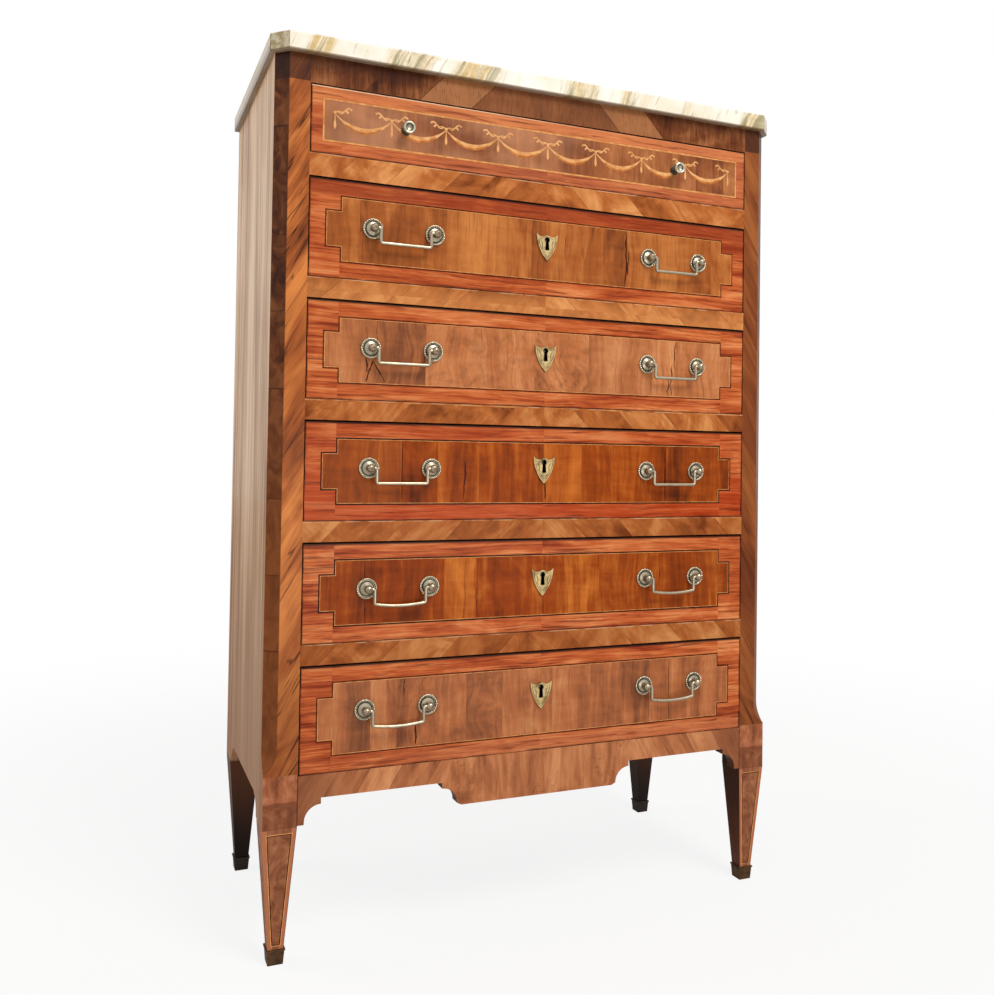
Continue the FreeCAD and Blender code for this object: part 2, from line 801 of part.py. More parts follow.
def drawer_bottom(drawer, side_low):
    low = f"base_{drawer} + {side_low} + bottom_rise"
    levels = (low, f"{low} + bottom_thickness")
    name = f"drawer_{drawer}_bottom"
    board = box(f"{name}_board",
                ("-side_inner - bottom_groove", "side_inner + bottom_groove"),
                ("front_plane + front_thickness", "front_plane + box_rear"), levels)
    tongue = box(f"{name}_tongue", ("-side_inner", "side_inner"),
                 ("front_plane + front_thickness - bottom_groove", "front_plane + front_thickness"),
                 levels)
    keep(joined(name, [board, tongue]), name)


def drawer_case(drawer):
    side_low = "side_lift"
    side_high = f"({opening(drawer)} - side_drop)"
    count = FRIEZE_TAIL_COUNT if drawer == DRAWERS[0] else DEEP_TAIL_COUNT
    drawer_front(drawer, side_low, side_high, count)
    drawer_box(drawer, side_low, side_high, count)
    drawer_bottom(drawer, side_low)


# Handles: rosette plates, posts with pointed balls and nuts behind the front, and bails
def rosette():
    plate = new_body("rosette")
    bead_inner = "rosette_radius - 2 * rosette_bead"
    dome = f"{bead_inner} - rosette_groove"
    turn(plate, "XY_Plane", [
        ("stud_hole", "0"),
        ("rosette_radius", "0"),
        ("rosette_radius", "-rosette_plate", "rosette_bead", 1),
        ("rosette_radius - rosette_bead", "-rosette_plate - rosette_bead", "rosette_bead", 1),
        (bead_inner, "-rosette_plate"),
        (dome, "-rosette_plate"),
        (dome, "-rosette_plate - rosette_step"),
        ("collar_radius", "-seat_height"),
        ("stud_hole", "-seat_height"),
    ], "V_Axis")
    return plate


def handle_post():
    post = new_body("handle_post")
    finial_base = "bail_standoff + sqrt(ball_radius ^ 2 - finial_radius ^ 2)"
    ball_low = "bail_standoff - sqrt(ball_radius ^ 2 - neck_radius ^ 2)"
    turn(post, "XY_Plane", [
        ("0", "stud_end"),
        ("0", "-handle_reach"),
        ("finial_radius", f"-({finial_base})", "ball_radius", -1),
        ("ball_radius", "-bail_standoff", "ball_radius", -1),
        ("neck_radius", f"-({ball_low})"),
        ("neck_radius", "-seat_height"),
        ("stud_radius", "-seat_height"),
        ("stud_radius", "stud_end"),
    ], "V_Axis")
    # the blind hole that the bail's pintle turns in, from the side that faces the bail
    hole = ("circle", "-bail_standoff", "0", "bail_wire + pintle_clearance")
    pocket(post, "YZ_Plane", [hole], "ball_radius + pintle_reach + pintle_end_gap",
           "ball_radius")
    return post


def stud_nut():
    nut = new_body("stud_nut")
    corners = []
    for index in range(NUT_FLAT_COUNT):
        angle = f"{WHOLE_ANGLE * (index + 0.5) / NUT_FLAT_COUNT} deg"
        corners.append((f"nut_radius * cos({angle})", f"nut_radius * sin({angle})"))
    pad(nut, "XZ_Plane", [corners, ("circle", "0", "0", "stud_hole")], "nut_height",
        "-front_thickness", reversed=True)
    return nut


def bail(name, bowed):
    # pivot line along X through the origin; the bail hangs from it, half of it drawn and mirrored
    item = new_body(name)
    straight_half = "(bail_arm - bail_bend)"
    low = "(bail_drop + bail_sag)" if bowed else "bail_drop"
    if bowed:
        rise = f"(2 * atan(bail_sag / {straight_half}))"
        bar_end = f"({straight_half} + bail_bend * sin({rise}))"
        bar_radius = f"({bar_end} / sin({rise}))"
        bar_end_low = f"({low} - {bar_radius} * (1 - cos({rise})))"
        bar = ("0", f"-{low}", bar_radius, -1)
        corner = (bar_end, f"-{bar_end_low}", "bail_bend", -1)
        arm_low = f"({bar_end_low} - bail_bend * cos({rise}))"
    else:
        bar = ("0", f"-{low}")
        corner = (straight_half, f"-{low}", "bail_bend", -1)
        arm_low = f"({low} - bail_bend)"
    path = sketch_on(item, "XZ_Plane", [[
        bar,
        corner,
        ("bail_arm", f"-{arm_low}"),
        ("bail_arm", "-bail_bend", "bail_bend", 1),
        ("bail_arm + bail_bend", "0"),
        ("pintle_end", "0"),
    ]], closed=False)
    wire = item.newObject("PartDesign::AdditivePipe", f"{name}_wire")
    wire.Profile = sketch_on(item, "YZ_Plane", [("circle", "0", f"-{low}", "bail_wire")])
    wire.Spine = path
    mirror_feature(item, wire)
    return item


def handles():
    plate = rosette()
    post = handle_post()
    nut = stud_nut()
    straight_bail = bail("straight_bail", bowed=False)
    bowed_bail = bail("bowed_bail", bowed=True)
    for drawer in LOCKED_DRAWERS:
        height = f"front_top_{drawer} - handle_drop"
        hanging = bowed_bail if drawer in BOWED_DRAWERS else straight_bail
        fixed = []
        for hand, side in (("left", -1), ("right", 1)):
            middle = f"{side} * handle_offset"
            name = f"drawer_{drawer}_{hand}_bail"
            keep(group(name, [copy_of(hanging, middle, "front_plane - bail_standoff", height)]), name)
            for end in (-1, 1):
                along = f"{middle} + {end} * handle_span / 2"
                fixed.append(copy_of(plate, along, "front_plane", height))
                fixed.append(copy_of(post, along, "front_plane", height, turned=end > 0))
                fixed.append(copy_of(nut, along, "front_plane", height))
        name = f"drawer_{drawer}_handle_posts"
        keep(group(name, fixed), name)
    return nut


# Knobs of the frieze drawer: a foot, a stem and a dished head on a stud with a nut
def knobs(nut):
    knob = new_body("knob")
    head = "knob_reach - knob_head"
    rim_inner = "knob_radius - 2 * knob_rim"
    dish_radius = bow_radius(rim_inner, "knob_dish")
    turn(knob, "XY_Plane", [
        ("0", "stud_end"),
        ("0", "-knob_reach + knob_dish", dish_radius, 1),
        (rim_inner, "-knob_reach", "knob_rim", -1),
        ("knob_radius - knob_rim", "-knob_reach - knob_rim", "knob_rim", -1),
        ("knob_radius", "-knob_reach"),
        ("knob_radius", "-knob_reach + knob_rim"),
        ("knob_stem", f"-({head})"),
        ("knob_stem", "-2 * knob_base_height"),
        ("knob_base_radius", "-knob_base_height"),
        ("knob_base_radius", "0"),
        ("stud_radius", "0"),
        ("stud_radius", "stud_end"),
    ], "V_Axis")
    height = f"base_{DRAWERS[0]} + {opening(DRAWERS[0])} / 2"
    items = []
    for side in (-1, 1):
        items.append(copy_of(knob, f"{side} * handle_offset", "front_plane", height))
        items.append(copy_of(nut, f"{side} * handle_offset", "front_plane", height))
    name = f"drawer_{DRAWERS[0]}_knobs"
    keep(group(name, items), name)


# Escutcheons: a horned shield with a keyhole
def escutcheons():
    shield = new_body("escutcheon")
    half = "shield_width / 2"
    top = "shield_height / 2"
    hump = f"{half} * hump_width_share"
    foot = f"{top} * hump_foot_share"
    side_chord = f"sqrt(({half}) ^ 2 + shield_height ^ 2)"
    scallop_chord = f"sqrt(({half} - {hump}) ^ 2 + ({top} - {foot}) ^ 2)"
    side = bow_radius(f"{side_chord} / 2", "shield_belly")
    scallop = bow_radius(f"{scallop_chord} / 2", "shield_scallop")
    outline = [
        ("0", f"-{top}", side, -1),
        (half, top, scallop, 1),
        (hump, foot, bow_radius(hump, "shield_hump"), -1),
        (f"-{hump}", foot, scallop, 1),
        (f"-{half}", top, side, -1),
    ]
    pad(shield, "XZ_Plane", [outline], "shield_thickness")
    pocket(shield, "XZ_Plane", [keyhole("keyhole_rise")], "2 * shield_thickness", symmetric=True)
    for drawer in LOCKED_DRAWERS:
        name = f"drawer_{drawer}_escutcheon"
        place = copy_of(shield, y="front_plane", z=f"front_top_{drawer} - handle_drop")
        keep(group(name, [place]), name)


# Locks: a case let into the back of the front, and a bolt that rises into the rail above
def locks():
    case = new_body("lock_case")
    near = "front_thickness - lock_depth"
    pad(case, "XZ_Plane", [lock_outline("0", "-lock_height")], "lock_depth", f"-({near})", reversed=True)
    channel = rectangle("-bolt_width / 2 - bolt_clearance", "bolt_width / 2 + bolt_clearance",
                        "bolt_near - bolt_clearance", "bolt_near + bolt_thickness + bolt_clearance")
    pocket(case, "XY_Plane", [channel], "bolt_length + bolt_clearance")
    key = "keyhole_rise - handle_drop"
    pocket(case, "XZ_Plane", [keyhole(key)], "lock_key_depth", f"-({near})")
    # the pin that a hollow key turns on
    pad(case, "XZ_Plane", [("circle", "0", key, "lock_pin_radius")],
        f"{near} + lock_key_depth - lock_pin_setback", "-lock_pin_setback", reversed=True)
    bolt = new_body("lock_bolt")
    section = rectangle("-bolt_width / 2", "bolt_width / 2", "bolt_near", "bolt_near + bolt_thickness")
    pad(bolt, "XY_Plane", [section], "bolt_length", "-bolt_length")
    for drawer in LOCKED_DRAWERS:
        for source, name in ((case, f"drawer_{drawer}_lock"), (bolt, f"drawer_{drawer}_lock_bolt")):
            place = copy_of(source, y="front_plane", z=f"front_top_{drawer}")
            keep(group(name, [place]), name)


marble_top()
front_post()
rear_posts()
sabots()
side_panels()
back_boards()
front_rails()
front_apron()
drawer_runners()
for drawer in DRAWERS:
    drawer_case(drawer)
knobs(handles())
escutcheons()
locks()
doc.recompute()

# Nothing is written unless every object is sound
broken = [item.Label for item in doc.Objects if {"Invalid", "Error"} & set(item.State)]
broken += [item.Label for item in sub_parts if item.Shape.isNull() or not item.Shape.isValid()]
if broken:
    raise RuntimeError(f"not sound: {broken}")
os.makedirs("parts", exist_ok=True)
for item in sub_parts:
    item.Shape.exportStep(os.path.join("parts", f"{item.Label}.step"))
print(len(sub_parts), "sub-parts written")
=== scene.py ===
import json
import math
import random

import bmesh
import bpy
from mathutils import Matrix, Vector


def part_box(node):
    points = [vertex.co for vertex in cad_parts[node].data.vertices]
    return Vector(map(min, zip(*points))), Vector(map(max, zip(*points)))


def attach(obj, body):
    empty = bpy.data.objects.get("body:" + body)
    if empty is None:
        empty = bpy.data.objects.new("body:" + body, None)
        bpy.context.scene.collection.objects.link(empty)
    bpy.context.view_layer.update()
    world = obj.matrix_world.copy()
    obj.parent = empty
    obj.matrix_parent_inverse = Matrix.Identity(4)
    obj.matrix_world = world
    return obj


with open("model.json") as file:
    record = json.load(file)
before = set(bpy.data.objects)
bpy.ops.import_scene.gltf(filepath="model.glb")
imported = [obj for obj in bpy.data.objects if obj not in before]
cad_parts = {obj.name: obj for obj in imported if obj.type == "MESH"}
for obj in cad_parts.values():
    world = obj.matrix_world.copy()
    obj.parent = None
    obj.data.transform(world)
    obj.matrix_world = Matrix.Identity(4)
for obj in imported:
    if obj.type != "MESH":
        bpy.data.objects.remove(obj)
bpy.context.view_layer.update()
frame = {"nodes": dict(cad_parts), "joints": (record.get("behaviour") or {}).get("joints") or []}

mm = 0.001
drawers = range(1, 7)
deepDrawers = range(2, 7)


def corners(node):
    low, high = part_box(node)
    return Vector(low), Vector(high)


def middleHeight(node):
    low, high = corners(node)
    return (low.z + high.z) / 2


fronts = {number: corners(f"drawer_{number}_front") for number in drawers}
frontBases = [low.z for low, high in fronts.values()]
frontTops = [high.z for low, high in fronts.values()]
frontHalf = fronts[2][1].x
frontY = fronts[2][0].y          # the plane of all the drawer fronts
caseHalf = corners("front_right_post")[1].x
openingHalf = corners("front_right_post")[0].x
caseTop = corners("marble_top")[0].z


def paint(red, green, blue):
    # screen colour, 0 to 255, to the linear colour that sockets take
    def linear(part):
        part = part / 255
        return part / 12.92 if part <= 0.04045 else ((part + 0.055) / 1.055) ** 2.4
    return (linear(red), linear(green), linear(blue), 1)


def operator(operation, reflected=False):
    # a method of Wire that makes one Math node
    def method(self, other=0.0):
        first, second = (other, self) if reflected else (self, other)
        return self.add("Math", {"operation": operation}, {0: first, 1: second})
    return method


class Wire:
    # a shader socket that can stand in a Python sum

    def __init__(self, tree, socket=None):
        self.tree = tree
        self.socket = socket

    def add(self, kind, settings=None, sockets=None, out=0):
        made = self.tree.nodes.new("ShaderNode" + kind)
        for key, setting in (settings or {}).items():
            if key == "stops":
                ramp = made.color_ramp.elements
                while len(ramp) < len(setting):
                    ramp.new(1)
                for stop, (place, colour) in zip(ramp, setting):
                    stop.position = place
                    stop.color = colour
            else:
                setattr(made, key, setting)
        for key, given in (sockets or {}).items():
            if isinstance(given, Wire):
                self.tree.links.new(given.socket, made.inputs[key])
            else:
                made.inputs[key].default_value = given
        return Wire(self.tree, made.outputs[out] if made.outputs else None)

    __add__ = operator("ADD")
    __radd__ = operator("ADD", True)
    __sub__ = operator("SUBTRACT")
    __rsub__ = operator("SUBTRACT", True)
    __mul__ = operator("MULTIPLY")
    __rmul__ = operator("MULTIPLY", True)
    __truediv__ = operator("DIVIDE")
    __abs__ = operator("ABSOLUTE")
    least = operator("MINIMUM")
    most = operator("MAXIMUM")
    root = operator("SQRT")
    whole = operator("FLOOR")

    def rise(self, low, high):
        # 0 below low, 1 above high, smooth between
        return self.add("MapRange", {"interpolation_type": "SMOOTHSTEP"},
                        {"Value": self, "From Min": low, "From Max": high})

    def fall(self, low, high):
        # 1 below low, 0 above high
        return 1 - self.rise(low, high)

    def step(self, place, soft=0.2 * mm):
        # 0 before place, 1 after it
        return self.rise(place - soft, place + soft)

    def near(self, place, half, soft):
        # 1 within half of place, 0 past half + soft
        return abs(self - place).fall(half, half + soft)

    def chance(self):
        # one random number, 0 to 1, for each whole value
        return self.add("TexWhiteNoise", {"noise_dimensions": "1D"}, {"W": self})

    def split(self, count=3):
        return [self.add("SeparateXYZ", {}, {0: self}, out) for out in range(count)]

    def shades(self, *stops):
        # the value as a colour, by pairs of place and screen colour
        stops = [(place, paint(*colour)) for place, colour in stops]
        return self.add("ValToRGB", {"stops": stops}, {"Fac": self})

    def tones(self, plan, spread, *coats):
        # the value as the plan's dark, middle and light, with other colours laid over them
        stops = (0.5 - spread, plan["dark"]), (0.5, plan["middle"]), (0.5 + spread, plan["light"])
        return self.shades(*stops).layers(plan, *coats)

    def layers(self, plan, *coats):
        # this colour with others laid over it in turn: pairs of share and colour, or its key in the plan
        colour = self
        for share, coat in coats:
            colour = mixColour(share, colour, plan[coat] if isinstance(coat, str) else coat)
        return colour


scene = bpy.context.scene
looks = {}


def newObject(name, data):
    thing = bpy.data.objects.new(name, data)
    scene.collection.objects.link(thing)
    return thing


def startLook(name):
    look = bpy.data.materials.new(name)
    look.use_nodes = True
    look.node_tree.nodes.clear()
    looks[name] = look
    return Wire(look.node_tree)


def startPlaced(name):
    # a look that varies with the place on the piece: its three axes
    return startLook(name).add("TexCoord", out="Object").split()


def closeLook(sockets, height=None, depth=0.12 * mm, strength=0.5):
    bench = sockets["Base Color"]
    if height is not None:
        bump = bench.add("Bump", {}, {"Strength": strength, "Distance": depth, "Height": height})
        sockets = {**sockets, "Normal": bump}
    bench.add("OutputMaterial", {}, {"Surface": bench.add("BsdfPrincipled", {}, sockets)})


def mixColour(share, first, second):
    # first where share is 0, second where it is 1; each a wire or a screen colour
    ends = [end if isinstance(end, Wire) else paint(*end) for end in (first, second)]
    return share.add("Mix", {"data_type": "RGBA"}, {"Factor": share, 6: ends[0], 7: ends[1]}, out=2)


def point(bench, x=0.0, y=0.0, z=0.0):
    return bench.add("CombineXYZ", {}, {0: x, 1: y, 2: z})


def times(scale, *parts):
    return [part * scale for part in parts]


def distance(first, second):
    return (first * first + second * second).root()


def cloud(place, detail=3.0, rough=0.55, twist=0.0):
    # soft noise, 0 to 1; the scale is in the place
    bench = next(part for part in place if isinstance(part, Wire))
    return bench.add("TexNoise", {}, {"Vector": point(bench, *place), "Scale": 1.0, "Detail": detail,
                                      "Roughness": rough, "Distortion": twist})


def grain(along, across, seed, stretch, fine, twist):
    # streaks that run along one axis: broad figure, fine lines and pores, 0 to 1 each
    broad = cloud((along * stretch, across * fine, seed), 4.0, 0.6, twist)
    lines = cloud((along * stretch * 3, across * fine * 6, seed), 3.0, 0.6, twist / 2)
    pores = cloud((along * stretch * 14, across * fine * 22, seed), 2.0, 0.5)
    return broad, lines, pores


print("camera")
# fitted to the photograph: place from the middle of the front, lens in pixels of a 994 by 995 picture
cameraFit = {
    "x": -0.6788, "beforeFront": 1.4651, "z": 0.7508, "focal": 983.892, "middle": (509.442, 438.695),
    "picture": (994, 995), "yaw": 22.855, "pitch": 1.167, "roll": 0.842, "sensor": 36, "nearest": 0.05,
}


def setCamera(fit):
    yaw, pitch, roll = (math.radians(fit[key]) for key in ("yaw", "pitch", "roll"))
    ahead = Vector((math.sin(yaw) * math.cos(pitch), math.cos(yaw) * math.cos(pitch), math.sin(pitch)))
    level = Vector((math.cos(yaw), -math.sin(yaw), 0))
    upright = level.cross(ahead)
    across = math.cos(roll) * level + math.sin(roll) * upright
    upward = math.cos(roll) * upright - math.sin(roll) * level
    data = bpy.data.cameras.new("camera")
    camera = newObject("camera", data)
    turn = Matrix((across, upward, -ahead)).transposed().to_4x4()
    camera.matrix_world = Matrix.Translation((fit["x"], frontY - fit["beforeFront"], fit["z"])) @ turn
    width, height = fit["picture"]
    data.sensor_width = fit["sensor"]
    data.lens = fit["focal"] / height * fit["sensor"]
    data.shift_x = (width / 2 - fit["middle"][0]) / height
    data.shift_y = (fit["middle"][1] - height / 2) / height
    data.clip_start = fit["nearest"]
    scene.camera = camera


setCamera(cameraFit)

print("light and floor")
studio = {
    "lamps": {
        "keyLight": {"at": (0.8, -2.6, 3.9), "aim": (0, -0.2, 0.7), "size": (1.5, 1.5), "watts": 114,
                     "tint": (1, 0.97, 0.93)},
        "sideLight": {"at": (-2.2, 0.9, 1.9), "aim": (-0.44, 0.05, 0.9), "size": (1.0, 1.6), "watts": 20,
                      "tint": (1, 0.98, 0.95)},
        "lowFill": {"at": (0.3, -3.3, 0.4), "aim": (0, 0, 0.35), "size": (2.4, 0.8), "watts": 20,
                    "tint": (1, 0.97, 0.93)},
    },
    "worldLight": 0.34, "floorSize": 30, "floorColour": (236, 235, 233), "shadowNear": 0.6, "shadowFar": 2.6,
    "cameraWhite": 0.86, "white": (1, 1, 1, 1),
}


def setLamp(name, plan):
    data = bpy.data.lights.new(name, "AREA")
    data.shape = "RECTANGLE"
    data.size, data.size_y = plan["size"]
    data.energy = plan["watts"]
    data.color = plan["tint"]
    lamp = newObject(name, data)
    lamp.location = plan["at"]
    lamp.rotation_euler = (Vector(plan["aim"]) - Vector(plan["at"])).to_track_quat("-Z", "Y").to_euler()


def setWorld(plan):
    # dim light from all round, but white wherever the camera sees it
    world = bpy.data.worlds.new("studio")
    scene.world = world
    world.use_nodes = True
    world.node_tree.nodes.clear()
    bench = Wire(world.node_tree)
    direct, mirrored, through = [bench.add("LightPath", out=f"Is {kind} Ray")
                                 for kind in ("Camera", "Glossy", "Transmission")]
    seen = direct.most(mirrored).most(through)
    light = bench.add("Background", {}, {"Color": plan["white"], "Strength": plan["worldLight"]})
    white = bench.add("Background", {}, {"Color": plan["white"], "Strength": 1.0})
    bench.add("OutputWorld", {}, {"Surface": bench.add("MixShader", {}, {0: seen, 1: light, 2: white})})


def setFloor(plan):
    # catches the shadow near the feet and fades to white
    half = plan["floorSize"] / 2
    mesh = bpy.data.meshes.new("floor")
    edges = [(-half, -half, 0), (half, -half, 0), (half, half, 0), (-half, half, 0)]
    mesh.from_pydata(edges, [], [(0, 1, 2, 3)])
    floor = newObject("floor", mesh)
    bench = startLook("paleFloor")
    x, y = bench.add("TexCoord", out="Object").split(2)
    away = bench.add("VectorMath", {"operation": "LENGTH"}, {0: point(bench, x, y)}, out="Value")
    seen = bench.add("LightPath", out="Is Camera Ray")
    far = away.rise(plan["shadowNear"], plan["shadowFar"])
    share = seen * (plan["cameraWhite"] + (1 - plan["cameraWhite"]) * far)
    matte = bench.add("BsdfDiffuse", {}, {"Color": paint(*plan["floorColour"])})
    glow = bench.add("Emission", {}, {"Color": plan["white"], "Strength": 1.0})
    bench.add("OutputMaterial", {}, {"Surface": bench.add("MixShader", {}, {0: share, 1: matte, 2: glow})})
    mesh.materials.append(looks["paleFloor"])


for name, lamp in studio["lamps"].items():
    setLamp(name, lamp)
setWorld(studio)
setFloor(studio)
scene.view_settings.view_transform = "Standard"

print("finishes")
polish = {"Coat Roughness": 0.16, "Coat IOR": 1.5}


def varnished(colour, rough=0.4, shine=0.14, coat=0.09, height=None, depth=0.12 * mm):
    sockets = {"Base Color": colour, "Roughness": rough, "Specular IOR Level": shine, "Coat Weight": coat}
    closeLook({**sockets, **polish}, height, depth)


tulipwood = {
    "dark": (136, 46, 16), "middle": (188, 92, 44), "light": (218, 136, 82), "streak": (96, 28, 10),
    "paintedShade": (26, 10, 6), "edgeShadeSoft": 0.0026, "topEdgeShade": 0.0042, "red": (170, 50, 0),
    "wearAndHighlight": (226, 188, 156), "hazySheen": (178, 108, 74), "endFrom": 0.344, "blockRows": 41, "veneer": 0.0004,
    "thick": 0.0196, "lip": 0.003, "lipShade": (40, 20, 11), "stain": (92, 54, 31),
    "coreDark": (116, 82, 48), "coreLight": (168, 128, 82), "keyHalf": 0.0048, "keyholeShade": (12, 7, 4),
}


def tulipwoodBorder():
    # reddish banding with level grain; the ends and corner blocks are cut from other pieces
    plan = tulipwood
    x, y, z = startPlaced("tulipwoodBorder")
    deep = y - frontY
    endPiece = abs(x).step(plan["endFrom"])
    zone = (z * plan["blockRows"]).whole() * endPiece
    tone = (zone + (x * 2).whole() * 17).chance()
    sway = cloud((x * 5, z * 9, tone * 4), 2.0) - 0.5
    level = z + sway * 0.014
    broad, lines, pores = grain(x, level, tone * 9, 4.0, 56.0, 0.9)
    wander = cloud((x * 9, z * 22, 4), 3.0, 0.6, 1.0)
    streak = cloud((x * 9, level * 190, tone * 5), 3.0, 0.6, 0.5)
    rub = cloud((x * 30, z * 30, 7))
    mixed = broad * 0.4 + lines * 0.32 + wander * 0.28 + (tone - 0.5) * endPiece * 0.08

    low, high = fronts[4]
    onFour = z.near((low.z + high.z) / 2, (high.z - low.z) / 2, 0.002)
    redder = onFour * (0.6 - z.rise(low.z + 0.02, high.z - 0.02) * 0.4)
    onOne = z.rise(frontBases[0] - 0.01, frontBases[0])
    hazeAndSheenShare = onOne.most(z.fall(frontBases[5] + 0.012, frontBases[5] + 0.03))
    # painted shade: the side edges and tops of the drawer fronts are darkened, so the gaps round them read
    # deeper
    edges = sum(abs(z - base).fall(0.0, plan["edgeShadeSoft"]) for base in frontBases)
    edges = edges.most(abs(x).rise(frontHalf - plan["edgeShadeSoft"], frontHalf))
    tops = sum(abs(z - top).fall(0.0008, plan["topEdgeShade"]) for top in frontTops[1:])

    core = deep.step(plan["veneer"], 0.1 * mm)          # stained edges behind the veneer
    stained = deep.rise(plan["lip"], plan["lip"] * 2) * (0.6 + rub * 0.5)
    inside = deep.rise(plan["thick"], plan["thick"] + 0.0002)
    plain = cloud((x * 4, y * 60, z * 60), 4.0).shades((0.38, plan["coreDark"]), (0.62, plan["coreLight"]))
    colour = mixed.tones(
        plan, 0.115,
        (redder, "red"),
        # varnish haze with painted sheen, on the top drawer and the foot of the lowest
        (hazeAndSheenShare * (0.12 + x.rise(-0.36, -0.1) * 0.3), "hazySheen"),
        # painted shadow of the rail above, along the top of the second drawer
        (z.near(frontTops[1], 0.02, 0.006) * wander.rise(0.3, 0.55) * 0.75, "dark"),
        # painted light on the top strip of the top drawer, against the slab's shadow
        (z.rise(frontTops[0] - 0.022, frontTops[0] - 0.014) * 0.4, "light"),
        (streak.rise(0.54, 0.68) * 0.7, "streak"),
        ((edges * rub.rise(0.3, 0.55) * 0.8).most(tops * 0.95), "paintedShade"),
        # wear with a painted highlight along the top arris of the top drawer
        (z.near(frontTops[0], 0.0009, 0.0008) * (1 - x.rise(-0.2, 0.2) * 0.9), "wearAndHighlight"),
        (pores.rise(0.56, 0.7) * 0.3, "streak"),
        # the drawer fronts' edges: stained, with painted shade in their first 3 mm behind the face
        (core, mixColour(stained, plan["lipShade"], plan["stain"])),
        # painted shade on the walls of the keyhole through the front
        (core * abs(x).near(0, plan["keyHalf"], 0.0004), "keyholeShade"),
        (inside, plain))
    varnished(colour, 0.34 + lines * 0.14 + core * 0.25, 0.09, (1 - core) * 0.06, lines + pores * 0.4)


# each deep drawer's panel is cut from its own log
walnut = {
    2: {"dark": (94, 42, 10), "middle": (158, 84, 32), "light": (196, 122, 60), "shine": 0.12},
    3: {"dark": (114, 58, 26), "middle": (180, 106, 58), "light": (212, 142, 92), "shine": 0.16},
    4: {"dark": (86, 30, 4), "middle": (152, 66, 12), "light": (194, 106, 38), "shine": 0.06},
    5: {"dark": (90, 32, 4), "middle": (148, 62, 8), "light": (198, 112, 42), "shine": 0.06},
    6: {"dark": (108, 54, 24), "middle": (176, 100, 54), "light": (210, 140, 88), "shine": 0.18},
}
walnutMarks = {"burl": (98, 50, 22), "greyAndSheen": (142, 90, 54), "pore": (84, 38, 14)}


def walnutPanel(number):
    # upright leaves, each with its own tone, greyness and burl in the "leaf" attribute; the greyness is
    # partly painted sheen
    plan = {**walnutMarks, **walnut[number]}
    bench = startLook(f"walnutPanel{number}")
    tone, greyAndSheen, burl = bench.add("Attribute", {"attribute_name": "leaf"}, out="Vector").split()
    across, along = bench.add("UVMap", {"uv_map": "grainMap"}).split(2)
    warp = cloud((across * 8, along * 7, 2), 2.0) - 0.5
    bent = across + warp * (0.02 + burl * 0.1)
    broad, lines, pores = grain(along, bent, 1.0, 2.2, 24.0, 0.7)
    flame = cloud((bent * 15, along * 7, 6), 4.0, 0.6, 1.6)
    ripple = cloud((across * 13, along * 60, 4), 2.0, 0.5, 0.8)
    swirl = cloud((bent * 26, along * 22, 8), 5.0, 0.6, 2.2)
    hairs = cloud((bent * 260, along * 6, 9), 2.0, 0.5, 0.3)
    mixed = broad * 0.38 + lines * 0.18 + flame * 0.32 + ripple * 0.12 + tone * 0.11
    colour = mixed.tones(
        plan, 0.145,
        (burl * swirl.rise(0.46, 0.68) * 0.6, "burl"),
        (greyAndSheen * 0.45, "greyAndSheen"),
        (hairs.rise(0.6, 0.72) * 0.35, "pore"),
        (pores.rise(0.58, 0.72) * 0.25, "pore"))
    shine = plan["shine"]
    varnished(colour, 0.34 + lines * 0.14, shine, shine * 0.6, lines + pores * 0.5, 0.1 * mm)


# dark and light of the woods of the thin lines, cracks and garland
stringWoods = {
    "boxwood": ((194, 128, 70), (224, 162, 98)),
    "ebony": ((38, 11, 4), (58, 18, 7)),
    "fadedEbony": ((72, 26, 10), (100, 38, 16)),
    "darkVein": ((52, 22, 9), (80, 36, 17)),
    "garlandWood": ((204, 142, 86), (228, 172, 114)),
    "scorchedGarlandWood": ((170, 96, 42), (204, 128, 62)),
}


def stringWood(name, dark, light):
    x, y, z = startPlaced(name)
    speck = cloud(times(90, x, y, z))
    varnished(speck.shades((0.38, dark), (0.6, light)), shine=0.06, coat=0.04)


frieze = {
    "dark": (100, 50, 24), "middle": (146, 82, 42), "light": (180, 116, 68), "hazeAndSheen": (200, 142, 104),
    "leaves": 12,
}


def friezePanel():
    # brown ground of the top drawer: narrow leaves of upright grain, with varnish haze and painted sheen to
    # the left
    plan = frieze
    x, _, z = startPlaced("friezePanel")
    leaf = (x * plan["leaves"] + cloud((x * 6, 1, 1), 0.0) * 1.6).whole()
    broad, lines, pores = grain(z, x, leaf * 2.7, 4.0, 26.0, 0.8)
    wander = cloud((x * 10, z * 14, 2), 3.0, 0.6, 1.0)
    tone = (leaf.chance() - 0.5) * 0.07
    hazeAndSheen = cloud((x * 5, z * 9, 6)).rise(0.36, 0.62) * x.near(-0.16, 0.14, 0.16)
    colour = (broad * 0.4 + lines * 0.25 + wander * 0.35 + tone).tones(
        plan, 0.13,
        (pores.rise(0.54, 0.68) * 0.3, "dark"),
        (hazeAndSheen * 0.5, "hazeAndSheen"))
    varnished(colour, height=lines, depth=0.1 * mm)


